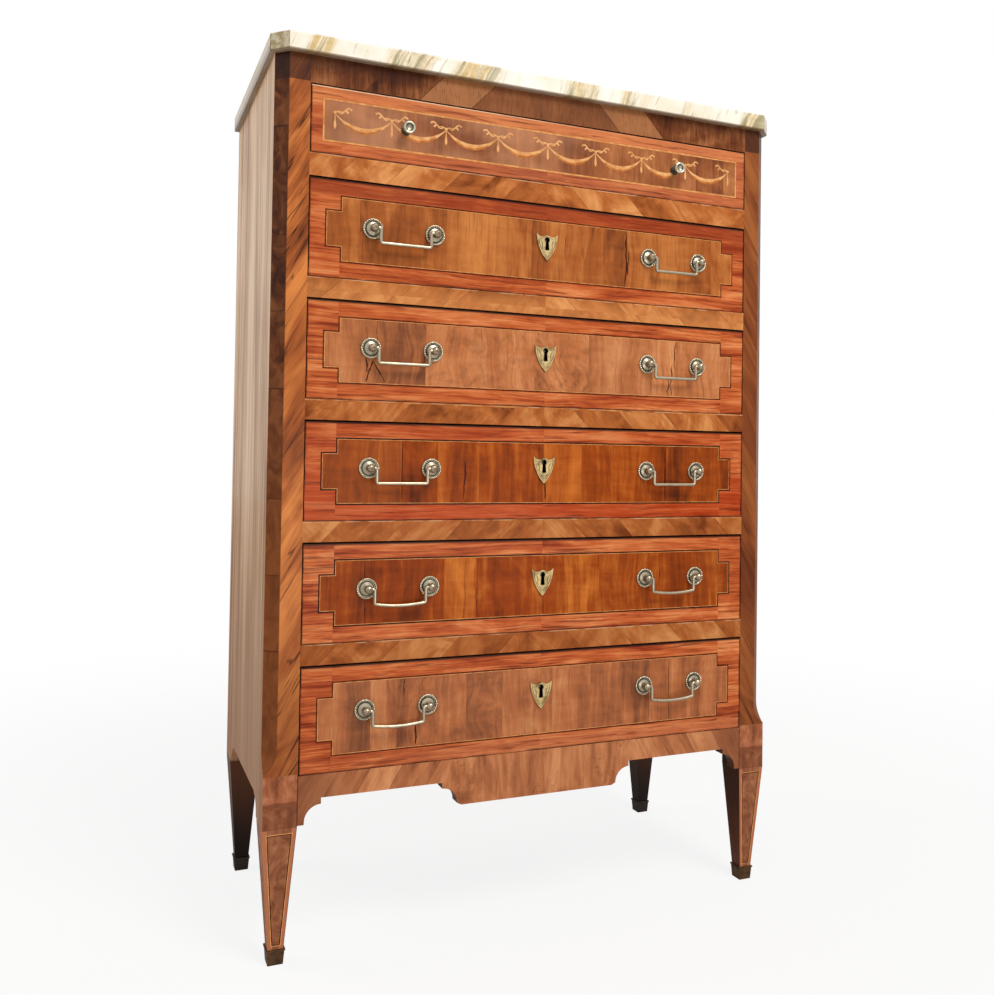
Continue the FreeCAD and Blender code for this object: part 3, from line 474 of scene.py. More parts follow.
# sizes of the front legs, as the part has them, and the plain frame round their inlay
leg = {"top": 203 * mm, "tilt": 15.5 / 201, "middle": 25.5 * mm, "frame": 7.5 * mm}
stile = {
    "dark": (92, 42, 18), "middle": (166, 90, 42), "light": (212, 130, 66), "streak": (46, 18, 6),
    "slope": 1.7, "piece": 0.19, "bandTop": 0.241, "blockTop": 0.2805, "cantRow": 0.13,
    "skin": (0.0004, 0.0008), "slabShadeFrom": 1.311, "slabShadeFull": 1.3125, "paintedShade": (46, 21, 12),
}
stileCant = {"dark": (54, 22, 8), "middle": (90, 46, 20), "light": (124, 72, 40), "low": (142, 78, 38)}
stileBlock = {"dark": (112, 60, 36), "middle": (158, 92, 60), "light": (188, 124, 88)}
stileLeg = {
    "dark": (100, 54, 32), "middle": (146, 90, 60), "light": (180, 122, 86), "frame": (182, 112, 78),
    "inner": (52, 24, 14),
}
sideWood = {
    "dark": (150, 108, 74), "middle": (198, 158, 122), "light": (230, 198, 164), "mark": (110, 70, 42),
    "low": (152, 102, 64), "legBrown": (92, 50, 26), "legShade": (22, 12, 8), "legTop": 0.205,
    "bareDark": (84, 54, 32), "bare": (138, 98, 62),
}
# the colour is painted shade for the walls of the gaps round the drawers; plain is the bare wood further in
gapEdges = {"depth": 0.016, "colour": (52, 28, 15), "plain": (118, 84, 50)}


def paleGlaredSide(y, z):
    # pale upright grain in soft broad bands, pale as faded wood and as painted glare, with a few brown marks,
    # browner near the floor
    plan = sideWood
    bands = cloud((y * 15, 1, z * 0.8), 2.0, 0.5, 0.5)
    streaks = cloud((y * 84, 3, z * 1.6), 4.0, 0.6, 0.4)
    patches = cloud((y * 5, 5, z * 3))
    marks = cloud((y * 210, 6, z * 5), 2.0, 0.5, 0.3)
    spread = cloud((y * 9, 8, z * 4), 2.0)
    return (bands * 0.44 + streaks * 0.36 + patches * 0.2).tones(
        plan, 0.085,
        (marks.rise(0.56, 0.68) * spread.rise(0.42, 0.58) * 0.7, "mark"),
        (z.fall(0.22, 0.8) * 0.8, "low"))


def stileFace(x, z):
    # slanting strips of veneer with dark veins; gives the colour and the fine lines
    plan = stile
    wide = abs(x)
    hand = x.step(0, 0.1)
    along = z - wide
    slant = z + plan["slope"] * wide
    cut = slant / plan["piece"] + cloud((slant * 4, hand * 7, 0), 0.0) * 0.5
    strip = cut.whole()
    seed = (strip + hand * 40).chance()
    broad, lines, _ = grain(along, slant, seed * 7, 2.4, 22.0, 1.0)
    flame = cloud((along * 3, slant * 9, seed * 3), 3.0, 0.6, 1.2)
    vein = cloud((along * 2, slant * 36, seed * 5), 1.0, 0.5, 0.5)
    patch = cloud((along * 3, slant * 7, 5), 1.0)
    mixed = broad * 0.26 + lines * 0.12 + flame * 0.62 + (seed - 0.5) * 0.16
    colour = mixed.tones(
        plan, 0.13,
        (vein.near(0.55, 0.003, 0.01) * patch.rise(0.4, 0.52) * 0.85, "streak"),
        (vein.near(0.47, 0.0015, 0.008) * patch.rise(0.44, 0.54) * 0.75, "streak"),
        ((cut - strip).near(0.0, 0.004, 0.004) * 0.85, "streak"),
        # painted shade: the right post is darker, and both are darker lower down
        ((x.rise(0.1, 0.2) * 0.62).most(z.fall(0.35, 0.6) * 0.4), "dark"))
    return colour, lines


def stileCorner(back, z):
    # the cant: short mottled pieces with level joints
    rows = z / stile["cantRow"] + cloud((z * 5, 0, 0), 0.0) * 1.2
    row = rows.whole()
    mottle = cloud((back * 60, row.chance() * 5, z * 26), 4.0, 0.6, 1.0)
    tone = ((row + 0.5).chance() - 0.5) * 0.1 - z.rise(0.7, 1.3) * 0.05 + 0.04
    return (mottle + tone).tones(
        stileCant, 0.17,
        (z.fall(0.4, 1.0) * (0.35 + mottle * 0.5), "low"),
        ((rows - row).near(0, 0.006, 0.006) * 0.8, stile["streak"]))


def stileFoot(wide, back, z):
    # the square block and the leg below it, whose two outer faces have a plain frame
    burl = cloud((wide * 34, back * 34, z * 30), 4.0, 0.6, 1.8)
    soft = cloud((wide * 60, back * 60, z * 12))
    figure = burl * 0.6 + soft * 0.4
    band = z.near((leg["top"] + stile["bandTop"]) / 2, (stile["bandTop"] - leg["top"]) / 2, 0.0005)
    block = figure.tones(
        stileBlock, 0.16,
        (band * 0.4, stileCant["dark"]),
        (wide.near(openingHalf, 0.0006, 0.0006) * 0.8, stile["streak"]))
    taper = (leg["top"] - z) * leg["tilt"]
    edge = leg["middle"] - leg["frame"] - taper
    onFront = (back - taper).fall(*stile["skin"])
    onSide = (wide + taper).rise(caseHalf - 0.0008, caseHalf - 0.0004)
    margin = (abs(wide - (caseHalf - leg["middle"])) - edge) * onFront
    margin = margin + (abs(back - leg["middle"]) - edge) * onSide
    innerFace = caseHalf - leg["middle"] * 2
    onInner = (wide - taper).fall(innerFace + 0.0006, innerFace + 0.001)
    return block, figure.tones(
        stileLeg, 0.16,
        (margin.step(0), mixColour(soft * 0.4, stileLeg["frame"], stileLeg["middle"])),
        # painted shade on the inner face of each front leg
        (onInner * (0.7 + z.rise(0.0, 0.2) * 0.25), "inner"))


def stileVeneer():
    # the front posts: face, cant, dark blocks at the ends of the frieze, pale side with painted glare,
    # painted shade inside, leg
    plan = stile
    x, y, z = startPlaced("stileVeneer")
    wide = abs(x)
    back = y - frontY
    face, lines = stileFace(x, z)
    block, legColour = stileFoot(wide, back, z)
    onFront = back.fall(*plan["skin"])
    onSide = wide.rise(caseHalf - 0.0006, caseHalf - 0.0003)
    inner = wide.fall(openingHalf + 0.0003, openingHalf + 0.0006)
    colour = stileCorner(back, z).layers(
        plan,
        (onFront, face),
        (onFront * (1 - z.step(plan["blockTop"])), block),
        # painted shadow of the marble slab on the tops of the posts
        (z.rise(plan["slabShadeFrom"], plan["slabShadeFull"]) * 0.78, "paintedShade"),
        (onSide, paleGlaredSide(y, z)),
        # painted shade on each post's inner face beside the drawers
        (inner * (1 - onFront), gapEdges["colour"]),
        (1 - z.step(leg["top"]), legColour))
    varnished(colour, 0.36 + lines * 0.12, 0.09, 0.06, lines)


rail = {
    "dark": (112, 52, 18), "middle": (174, 98, 46), "light": (216, 148, 88), "piece": 0.092,
    "wearAndHighlight": (216, 170, 132), "friezeFrom": 1.31, "friezeSeam": 0.2165, "friezeBase": 1.316,
    "friezePiece": 0.088, "friezeLean": 0.95, "darkEnd": 0.25,
}
railFrieze = {
    "dark": (54, 22, 8), "middle": (112, 60, 30), "light": (160, 102, 62), "wedge": (166, 110, 70),
    "centre": (134, 82, 50),
}


def friezeRail(x, z, side):
    # cross grain, with soot and painted shadow under the slab, and a lighter wedge on each side of the middle
    plan, shade = rail, railFrieze
    along = abs(x) + (z - plan["friezeBase"]) * plan["friezeLean"]
    leafy = (plan["friezeSeam"] - along) / plan["friezePiece"]
    broad, lines, pores = grain(z + x * 0.3, x, leafy.whole() * 0.15 + side, 4.0, 24.0, 0.9)
    cloudy = cloud((x * 9, 1, z * 14), 3.0, 0.6, 1.0)
    seams = leafy.near(0.0, 0.008, 0.01).most(leafy.near(1.0, 0.006, 0.01))
    # painted shadow of the slab with soot, darkest at the top and towards the left end
    sootAndShadow = z.rise(plan["friezeBase"] + 0.005, plan["friezeBase"] + 0.026)
    sootAndShadow = sootAndShadow * (0.72 - x.rise(-0.4, plan["darkEnd"]) * 0.3)
    return (broad * 0.35 + lines * 0.25 + cloudy * 0.4).tones(
        shade, 0.12,
        (leafy.near(0.5, 0.49, 0.02) * (0.5 + broad * 0.5), "wedge"),
        (leafy.step(1, 0.01) * (0.4 + cloudy * 0.5), "centre"),
        (seams * 0.6, "dark"),
        (pores.rise(0.54, 0.68) * 0.4, "dark"),
        (leafy.fall(-0.4, 0.0) * sootAndShadow, "dark"))


def railVeneer():
    # short slanting pieces that meet at the middle; the frieze is darker
    plan = rail
    x, y, z = startPlaced("railVeneer")
    wide = abs(x)
    slant = wide + z
    level = (z * 6).whole()
    cut = (slant + cloud((slant * 5, level * 3.1, 0), 0.0) * 0.06) / plan["piece"]
    piece = cut.whole()
    side = x.step(0)
    seed = (piece * 3 + side + level * 31).chance()
    tone = (piece * 7 + side * 2 + level * 13).chance()
    broad, lines, _ = grain(wide - z, slant, seed * 9, 5.0, 22.0, 1.2)
    flame = cloud((wide * 13, seed * 8, z * 13), 4.0, 0.6, 1.4)
    scuff = cloud((x * 24, 0, z * 6))
    mixed = broad * 0.26 + lines * 0.12 + flame * 0.62 + (tone - 0.5) * 0.16

    onFrieze = z.step(plan["friezeFrom"], 0.5 * mm)
    # wear with a painted highlight along the top arris of each rail
    wearAndHighlight = sum(z.near(base - 0.0016, 0.0006, 0.0005) for base in frontBases)
    deep = y - frontY
    core = deep.rise(0.0004, 0.0006)
    plain = deep.rise(gapEdges["depth"], gapEdges["depth"] + 0.004)
    litUnderFrieze = core * onFrieze * x.fall(-0.2, 0.2)
    colour = mixed.tones(
        plan, 0.18,
        (z.fall(0.45, 0.95) * 0.24, "dark"),
        # painted sheen on the rail above the third drawer
        (z.near(0.97, 0.03, 0.03) * 0.3, "light"),
        ((cut - piece).near(0.0, 0.008, 0.008) * 0.6, "dark"),
        (onFrieze, friezeRail(x, z, side)),
        (wearAndHighlight * scuff.rise(0.44, 0.6) * 0.6, "wearAndHighlight"),
        # painted shade on the rails' edges in the gaps
        (core, gapEdges["colour"]),
        # painted light on the frieze rail's underside, seen through the gap over the top drawer
        (litUnderFrieze * 0.8, railFrieze["light"]),
        (plain * (0.7 + scuff * 0.3), gapEdges["plain"]))
    varnished(colour, 0.38 + lines * 0.12, 0.06, (1 - core) * 0.04, lines)


apron = {
    "dark": (112, 56, 28), "middle": (174, 106, 64), "light": (212, 146, 98), "core": (84, 46, 26),
    "seam": (88, 44, 24), "endDark": (104, 56, 34), "drop": 0.16, "dropBase": 0.25, "dropLean": 0.26,
    "lean": 0.6, "piece": 0.052,
}


def apronVeneer():
    # upright flame on the drop, slanting strips towards the brackets
    plan = apron
    x, y, z = startPlaced("apronVeneer")
    wide = abs(x)
    hand = x.step(0, 0.1)
    above = z - plan["dropBase"]
    flame = cloud((x * 22, 5, z * 7), 4.0, 0.6, 1.6)
    broad, lines, _ = grain(z, x, 5.0, 4.0, 22.0, 0.9)
    curl = cloud((x * 34, 6, z * 22), 3.0, 0.6, 1.6)
    patch = cloud((x * 12, 7, z * 12), 1.0)

    slant = wide + above * plan["lean"]
    cut = (slant + cloud((slant * 9, hand * 5, 0), 0.0) * 0.03) / plan["piece"]
    strip = cut.whole()
    seed = (strip * 3 + hand).chance()
    slantBroad, slantLines, _ = grain(z - wide * plan["lean"], slant, seed * 9, 5.0, 24.0, 0.9)
    mixed = slantBroad * 0.5 + slantLines * 0.25 + flame * 0.25 + (seed - 0.5) * 0.14
    ends = mixed.tones(
        plan, 0.18,
        ((cut - strip).near(0.0, 0.012, 0.014) * 0.6, "seam"),
        (wide.rise(0.3, 0.37) * (0.25 + flame * 0.5), "endDark"))
    colour = (flame * 0.5 + broad * 0.32 + lines * 0.18).tones(
        plan, 0.16,
        (curl.near(0.56, 0.002, 0.012) * patch.rise(0.46, 0.6) * 0.6, "seam"),
        ((wide - above * plan["dropLean"]).step(plan["drop"], 0.6 * mm), ends),
        (wide.rise(openingHalf - 0.0012, openingHalf - 0.0004) * 0.85, "seam"),
        ((y - frontY).rise(0.0008, 0.001), "core"))
    varnished(colour, 0.36 + lines * 0.1, height=lines)


def sideVeneer():
    # the two sides and the rear posts; the rear legs are painted nearly black for shade
    plan = sideWood
    x, y, z = startPlaced("sideVeneer")
    broad, lines, _ = grain(z, y + x, 4.0, 1.1, 34.0, 0.8)
    legs = 1 - z.step(plan["legTop"], 4 * mm)
    legShare = z.rise(0.03, 0.21) * (0.5 + broad * 0.8)
    rear = corners("rear_posts")[1].y
    inside = abs(x).fall(caseHalf - 0.012, caseHalf - 0.011).most(y.rise(rear - 0.0006, rear - 0.0003))
    bare = (broad * 0.5 + lines * 0.5).shades((0.36, plan["bareDark"]), (0.64, plan["bare"]))
    colour = paleGlaredSide(y, z).layers(
        plan,
        (legs, mixColour(legShare, plan["legShade"], plan["legBrown"])),
        (inside * (1 - legs), bare))
    varnished(colour, 0.42 + broad * 0.14, height=lines)


def plainWood(name, dark, light, along, boards=0):
    # unpolished drawer sides, bottoms, runners and boards; each of the back's level boards has its own tone
    x, y, z = startPlaced(name)
    runs = {"x": (x, y + z), "y": (y, x + z)}
    seed, tone = 2.0, 0.0
    if boards:
        low, high = corners("back_boards")
        board = ((z - low.z) * (boards / (high.z - low.z))).whole()
        seed = board * 3.7 + 2
        tone = ((board + 0.5).chance() - 0.5) * 0.14
    broad, lines, pores = grain(*runs[along], seed, 2.4, 44.0, 0.6)
    flame = cloud((x * 2.2, seed, (y + z) * 15), 3.0, 0.6, 1.4)
    dirt = cloud(times(5, x, y, z), 4.0)
    mixed = broad * 0.42 + lines * 0.36 + flame * 0.22 + tone
    colour = mixed.shades((0.36, dark), (0.64, light)).layers(
        {},
        (pores.rise(0.55, 0.7) * 0.5, times(0.6, *dark)),
        (dirt.rise(0.5, 0.75) * 0.4, times(0.72, *dark)))
    closeLook({"Base Color": colour, "Roughness": 0.66 + lines * 0.16, "Specular IOR Level": 0.3},
              lines + pores * 0.5, 0.2 * mm)


stone = {
    "ground": (232, 224, 204), "cream": (246, 242, 232), "tan": (222, 202, 156), "gold": (206, 174, 112),
    "brown": (150, 118, 72), "olive": (150, 140, 100), "stain": (146, 120, 66), "lowerEdgeShade": (112, 80, 46),
    "aged": (202, 188, 154), "end": (172, 148, 106), "lean": 0.42, "sideFrom": 0.4502, "sideRise": 0.013,
}


def bandedMarble():
    # cream marble; slanted olive and gold strokes in soft tan zones, which run back across the top
    plan = stone
    x, y, z = startPlaced("bandedMarble")
    warp = cloud((x * 6, y * 4, z * 10), 3.0, 0.5, 0.3) - 0.5
    run = x + y * 0.4 - z * plan["lean"] + warp * 0.03
    ground = cloud(times(13, x, y, z), 5.0).shades((0.36, plan["ground"]), (0.62, plan["cream"]))
    banded = cloud((run * 14, y * 0.6, 3), 1.0, 0.5).rise(0.46, 0.6)
    strokes = cloud((run * 75, y * 1.6, z * 6 + 7), 2.0, 0.55)
    fine = cloud((run * 260, y * 4, z * 14), 3.0, 0.6)
    fade = cloud((x * 16, y * 9, z * 40))
    mottle = cloud(times(90, x, y, z), 4.0, 0.65)
    faceX, faceY = x.add("TexCoord", out="Normal").split(2)
    corner = (abs(faceX) * abs(faceY)).rise(0.15, 0.25)          # the two canted faces
    onEnd = abs(x).rise(plan["sideFrom"] - 0.0004, plan["sideFrom"])
    endUnderShade = onEnd * z.fall(caseTop + plan["sideRise"] - 0.006, caseTop + plan["sideRise"] + 0.002)
    colour = ground.layers(
        plan,
        (banded * (0.3 + fine * 0.7), "tan"),
        (banded * strokes.rise(0.5, 0.6) * (0.5 + fade), "olive"),
        (banded * strokes.fall(0.36, 0.47) * (0.3 + fade), "gold"),
        (banded * strokes.near(0.5, 0.006, 0.02) * fine.rise(0.36, 0.56) * 0.75, "brown"),
        ((1 - banded) * strokes.near(0.6, 0.006, 0.02) * fade.rise(0.4, 0.7) * 0.6, "olive"),
        (corner * 0.85, "aged"),
        (onEnd * (0.5 + mottle * 0.5), "end"),
        (mottle.rise(0.44, 0.6) * (banded * 0.25 + corner * 0.75), "stain"),
        # painted shade on the low part of the slab's ends and along its lower edge
        (endUnderShade * (0.7 + mottle * 0.5).least(0.95), "lowerEdgeShade"),
        (z.fall(caseTop + 0.0016, caseTop + 0.004) * 0.8, "lowerEdgeShade"))
    closeLook({"Base Color": colour, "Roughness": 0.26 + fine * 0.12, "Coat Weight": 0.12,
               "Coat Roughness": 0.1, "Specular IOR Level": 0.4}, fine, 0.1 * mm, 0.3)


joints = {joint["name"]: joint for joint in frame["joints"]}
rosette = {
    "groove": 11.2 * mm, "grooveHalf": 0.8 * mm, "collar": 5.2 * mm, "face": 4.9 * mm, "radius": 16.2 * mm,
    "dome": 0.3, "rim": (13.3 * mm, 13.8 * mm),
}
handleMiddle = joints["drawer_2_right_bail_swing"]["pos_m"][0]
handleSpan = corners("drawer_2_handle_posts")[1].x - rosette["radius"] - handleMiddle
handleLow = joints["drawer_6_left_bail_swing"]["pos_m"][2]
handlePitch = joints["drawer_5_left_bail_swing"]["pos_m"][2] - handleLow


def fromRow(height, lowest):
    # how far above or below the nearest row, of rows a drawer apart
    rows = (height - lowest) / handlePitch
    return (rows - (rows + 0.5).whole()) * handlePitch


def rosetteDirt(x, y, z):
    # the groove round the dome of every rosette, and the foot of its post
    plan = rosette
    away = distance(abs(abs(abs(x) - handleMiddle) - handleSpan), fromRow(z, handleLow))
    groove = away.near(plan["groove"], plan["grooveHalf"], 0.0005)
    dome = 1 - away.rise(plan["collar"], plan["collar"] + 0.002) * 0.8
    dome = dome * (plan["dome"] + x.rise(0.0, 0.2) * 0.3)
    onPlate = (y - frontY).rise(-plan["face"] - 0.0003, -plan["face"])
    return (groove.most(dome) * onPlate * away.fall(*plan["rim"])).most(0)


knob = {"ring": 5.2 * mm, "ringHalf": 0.7 * mm, "head": 14.2 * mm, "stem": 11 * mm}
knobLevel = middleHeight("drawer_1_knobs")


def knobDirtAndShade(x, y, z):
    # the ring where the dish of a knob meets its rim; the stem gets painted shade
    plan = knob
    away = distance(abs(x) - handleMiddle, z - knobLevel)
    ahead = y - frontY
    dish = away.fall(plan["ring"], plan["ring"] + plan["ringHalf"])
    ringed = away.near(plan["ring"], plan["ringHalf"], 0.0005)
    onHead = ahead.fall(-plan["head"], -plan["head"] + 0.0005)
    onStem = ahead.rise(-plan["stem"] - 0.001, -plan["stem"])
    return ((dish * 0.45).most(ringed * 0.75) * onHead).most(onStem)


shield = {"thick": 3 * mm, "keyHalf": 4.7 * mm, "eye": 5.0 * mm, "eyeRise": 12 * mm}
shieldLow = middleHeight("drawer_6_escutcheon")


def shieldKeyholeShade(x, y, z):
    # painted shade on the walls and the round eye of the keyhole
    plan = shield
    depth = y - (frontY - plan["thick"])
    walls = abs(x).near(0, plan["keyHalf"], 0.0003) * depth.rise(0.0002, 0.0004)
    away = distance(x, fromRow(z - shieldLow, plan["eyeRise"]))
    return walls.most(away.fall(plan["eye"] - 0.0006, plan["eye"]) * 0.85)


def shadedRearSabots(x, y, z):
    # painted shade: the two at the back are darkened nearly to black
    return y.rise(0.0, 0.05) * 0.85


# a hollow takes the three axes and gives where its dark colour sits deepest: dirt in the handles' grooves and
# knob dishes, painted shade in the keyholes, on the knob stems and on the rear sabots
metals = {
    "agedHandleMetal": {
        "bright": (172, 161, 138), "tarnish": (108, 94, 70), "amount": 0.3, "rough": 0.27, "shine": 1.0,
        "dirtAndShade": (40, 33, 23), "hollow": rosetteDirt},
    "agedKnobMetal": {
        "bright": (196, 188, 164), "tarnish": (92, 84, 62), "amount": 0.4, "rough": 0.2, "shine": 1.0,
        "dirtAndShade": (46, 42, 28), "hollow": knobDirtAndShade},
    "pearlMetal": {
        "bright": (204, 194, 166), "tarnish": (96, 84, 58), "amount": 0.5, "rough": 0.2, "shine": 1.0},
    "agedEscutcheonBrass": {
        "bright": (196, 172, 120), "tarnish": (120, 96, 50), "amount": 0.9, "rough": 0.42, "shine": 0.6,
        "dirtAndShade": (10, 7, 4), "hollow": shieldKeyholeShade},
    "engravedLines": {
        "bright": (96, 74, 38), "tarnish": (62, 46, 22), "amount": 0.6, "rough": 0.5, "shine": 0.5},
    "sabotBronze": {
        "bright": (96, 70, 46), "tarnish": (30, 21, 14), "amount": 0.85, "rough": 0.36, "shine": 0.9,
        "dirtAndShade": (12, 10, 9), "hollow": shadedRearSabots},
    "lockIron": {
        "bright": (96, 90, 84), "tarnish": (38, 34, 32), "amount": 0.8, "rough": 0.45, "shine": 1.0},
}


def agedMetal(name, plan):
    x, y, z = startPlaced(name)
    stain = cloud(times(70, x, y, z), 4.0, 0.6)
    fine = cloud(times(700, x, y, z), 2.0)
    share = stain.rise(0.42, 0.68) * plan["amount"]
    colour = mixColour(share, plan["bright"], plan["tarnish"])
    shine = plan["shine"] - share * 0.3
    if "hollow" in plan:
        dirtAndShade = plan["hollow"](x, y, z)
        colour = colour.layers(plan, (dirtAndShade, "dirtAndShade"))
        shine = shine * (1 - dirtAndShade * 0.7)
        share = share.most(dirtAndShade)
    rough = plan["rough"] + share * 0.2 + fine * 0.04
    closeLook({"Base Color": colour, "Metallic": shine, "Roughness": rough}, stain, 0.08 * mm, 0.15)


tulipwoodBorder()
friezePanel()
stileVeneer()
railVeneer()
apronVeneer()
sideVeneer()
bandedMarble()
plainWood("backBoards", (96, 68, 42), (150, 114, 74), "x", 6)
plainWood("drawerWood", (140, 104, 62), (190, 152, 104), "y")
plainWood("bottomWood", (136, 102, 64), (184, 148, 102), "x")
for name, (dark, light) in stringWoods.items():
    stringWood(name, dark, light)
for name, plan in metals.items():
    agedMetal(name, plan)
for number in deepDrawers:
    walnutPanel(number)

print("finishes on the solids")
nodeLooks = {
    "marble_top": "bandedMarble", "left_side_panel": "sideVeneer", "right_side_panel": "sideVeneer",
    "front_left_post": "stileVeneer", "front_right_post": "stileVeneer", "rear_posts": "sideVeneer",
    "sabots": "sabotBronze", "back_boards": "backBoards", "front_rails": "railVeneer",
    "front_apron": "apronVeneer", "drawer_runners": "drawerWood", "drawer_1_knobs": "agedKnobMetal",
}
drawerLooks = {"front": "tulipwoodBorder", "box": "drawerWood", "bottom": "bottomWood"}
deepLooks = {
    "handle_posts": "agedHandleMetal", "left_bail": "agedHandleMetal", "right_bail": "agedHandleMetal",
    "escutcheon": "agedEscutcheonBrass", "lock": "lockIron", "lock_bolt": "lockIron",
}
for number in drawers:
    for piece, look in {**drawerLooks, **(deepLooks if number in deepDrawers else {})}.items():
        nodeLooks[f"drawer_{number}_{piece}"] = look
for node, look in nodeLooks.items():
    mesh = frame["nodes"][node].data
    mesh.materials.clear()
    mesh.materials.append(looks[look])


def prism(made, points, front, back):
    # closed flat piece whose face is the polygon of (x, z) points at y = front
    near = [made.verts.new((x, front, z)) for x, z in points]
    far = [made.verts.new((x, back, z)) for x, z in points]
    faces = [made.faces.new(near), made.faces.new(far[::-1])]
    count = len(points)
    for step in range(count):
        follow = (step + 1) % count
        faces.append(made.faces.new((near[follow], near[step], far[step], far[follow])))
    return faces


def ring(made, outer, inner, front, back):
    # a prism along each side of a frame
    faces = []
    for step in range(len(outer)):
        follow = (step + 1) % len(outer)
        faces += prism(made, [outer[step], outer[follow], inner[follow], inner[step]], front, back)
    return faces


def useSecond(faces):
    # the second of the piece's looks
    for face in faces:
        face.material_index = 1


def ribbon(points, widths):
    # outline of a strip of changing width that follows a line of points
    left, right = [], []
    for step, (x, z) in enumerate(points):
        before = points[max(step - 1, 0)]
        after = points[min(step + 1, len(points) - 1)]
        run = Vector((after[0] - before[0], after[1] - before[1])).normalized()
        half = widths[step] / 2
        left.append((x - run.y * half, z + run.x * half))
        right.append((x + run.y * half, z - run.x * half))
    return right + left[::-1]


def panelShape(baseHalf, topHalf, base, top, inset):
    # four corners of a straight or tapered panel, drawn in by inset
    low, high = baseHalf - inset, topHalf - inset
    return [(-low, base + inset), (low, base + inset), (high, top - inset), (-high, top - inset)]


def finishPiece(made, name, body, used, smooth=False):
    bmesh.ops.recalc_face_normals(made, faces=made.faces)
    mesh = bpy.data.meshes.new(name)
    made.to_mesh(mesh)
    made.free()
    for look in used:
        mesh.materials.append(looks[look])
    if smooth:
        mesh.polygons.foreach_set("use_smooth", [True] * len(mesh.polygons))
    piece = newObject(name, mesh)
    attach(piece, body)


print("drawer panels")
inlay = {
    "proud": 0.12 * mm, "deep": 0.6 * mm, "stringProud": 0.2 * mm, "lap": 0.03 * mm, "margin": 23.5 * mm,
    "ear": 23 * mm, "notch": 22 * mm, "darkLine": 2.2 * mm, "lightLine": 0.8 * mm, "holeHalf": 6.5 * mm,
    "holeRise": 6 * mm, "holeDrop": 19 * mm, "keyRise": 12 * mm, "crackSteps": 9,
    "lineLook": {2: "fadedEbony", 3: "fadedEbony", 4: "ebony", 5: "ebony", 6: "fadedEbony"},
    "crackLook": {2: "darkVein", 3: "darkVein", 4: "ebony", 5: "ebony", 6: "darkVein"},
}
panelFront = frontY - inlay["proud"]
stringFront = frontY - inlay["stringProud"]
inlayBack = frontY + inlay["deep"]
# leaves from left to right: right edge in mm, tone, greyness (partly painted sheen), burl
leaves = {
    2: [(-314, 0.3, 0, 0.3), (-241, 0.2, 0, 0.1), (-174, -0.1, 0, 0), (-114, 0.5, 0, 0), (-27, 0.55, 0, 0.1),
        (35, 0.35, 0, 0.1), (106, 0.2, 0, 0.2), (149, -0.5, 0, 0.5), (251, 0.4, 0, 0.1), (321, 0.1, 0, 0),
        (367, 0.4, 0, 0.1)],
    3: [(-302, -0.1, 0.2, 0.1), (-205, -0.7, 0.2, 0.6), (-19, 0.1, 0, 0.5), (81, 0.2, 0, 0.9),
        (203, 0.0, 0.3, 0.2), (248, 0.45, 0, 0.1), (367, 0.1, 0.1, 0.2)],
    4: [(-240, -0.25, 0.35, 0.1), (-182, -0.1, 0, 0), (-113, 0.05, 0, 0.2), (0, -0.1, 0, 0), (70, 0.3, 0, 0),
        (126, 0.2, 0, 0), (232, 0.15, 0, 0), (367, -0.4, 0.1, 0)],
    5: [(-297, -0.1, 0.1, 0), (-169, -0.1, 0, 0.1), (-115, 0.38, 0, 0), (1, -0.1, 0, 0), (106, 0.35, 0, 0),
        (223, 0.1, 0.1, 0.1), (286, -0.3, 0.1, 0), (367, -0.25, 0.2, 0)],
    6: [(-284, -0.2, 0.4, 0.1), (-242, 0.05, 0.2, 0.2), (-176, -0.5, 0.3, 0.9), (-129, -0.2, 0.3, 0.3),
        (-67, -0.1, 0.4, 0.8), (22, 0.0, 0.4, 0.3), (92, 0.05, 0.3, 0.1), (205, -0.45, 0.3, 0),
        (243, -0.1, 0.2, 0), (367, -0.2, 0.3, 0)],
}
# dark cracks and open seams: x in mm, top and bottom as shares of the panel's height, width and wander in mm,
# and for a leaning one how far its foot lies from its top in mm
cracks = {
    2: [(36, 0.78, 0.35, 1.4, 4), (66, 0.62, 0.42, 0.9, 3), (149, 1.0, 0.0, 4.4, 6), (156, 0.66, 0.2, 3.0, 5),
        (140, 0.5, 0.3, 1.0, 4), (-27, 0.9, 0.55, 0.8, 2)],
    3: [(250, 1.0, 0.5, 2.0, 6), (244, 0.55, 0.0, 2.6, 7), (234, 0.3, 0.02, 2.0, 6), (-283, 1.0, 0.5, 1.0, 5),
        (-290, 0.36, 0.02, 3.6, 2, -11), (-289, 0.34, 0.02, 3.0, 2, 18), (-300, 0.5, 0.16, 3.2, 3)],
    4: [(-240, 1.0, 0.0, 2.2, 1), (-138, 0.7, 0.05, 3.4, 3), (3, 0.45, 0.0, 3.0, 1), (232, 1.0, 0.0, 2.8, 1)],
    5: [(-297, 1.0, 0.0, 2.2, 1), (-115, 0.5, 0.0, 1.2, 2), (2, 0.3, 0.0, 1.6, 1), (223, 1.0, 0.5, 1.2, 1)],
    6: [(205, 1.0, 0.0, 1.1, 1), (243, 1.0, 0.0, 1.3, 1), (-212, 0.34, 0.02, 3.8, 2),
        (-232, 1.0, 0.75, 2.6, 3), (-180, 0.7, 0.45, 1.6, 4)],
}


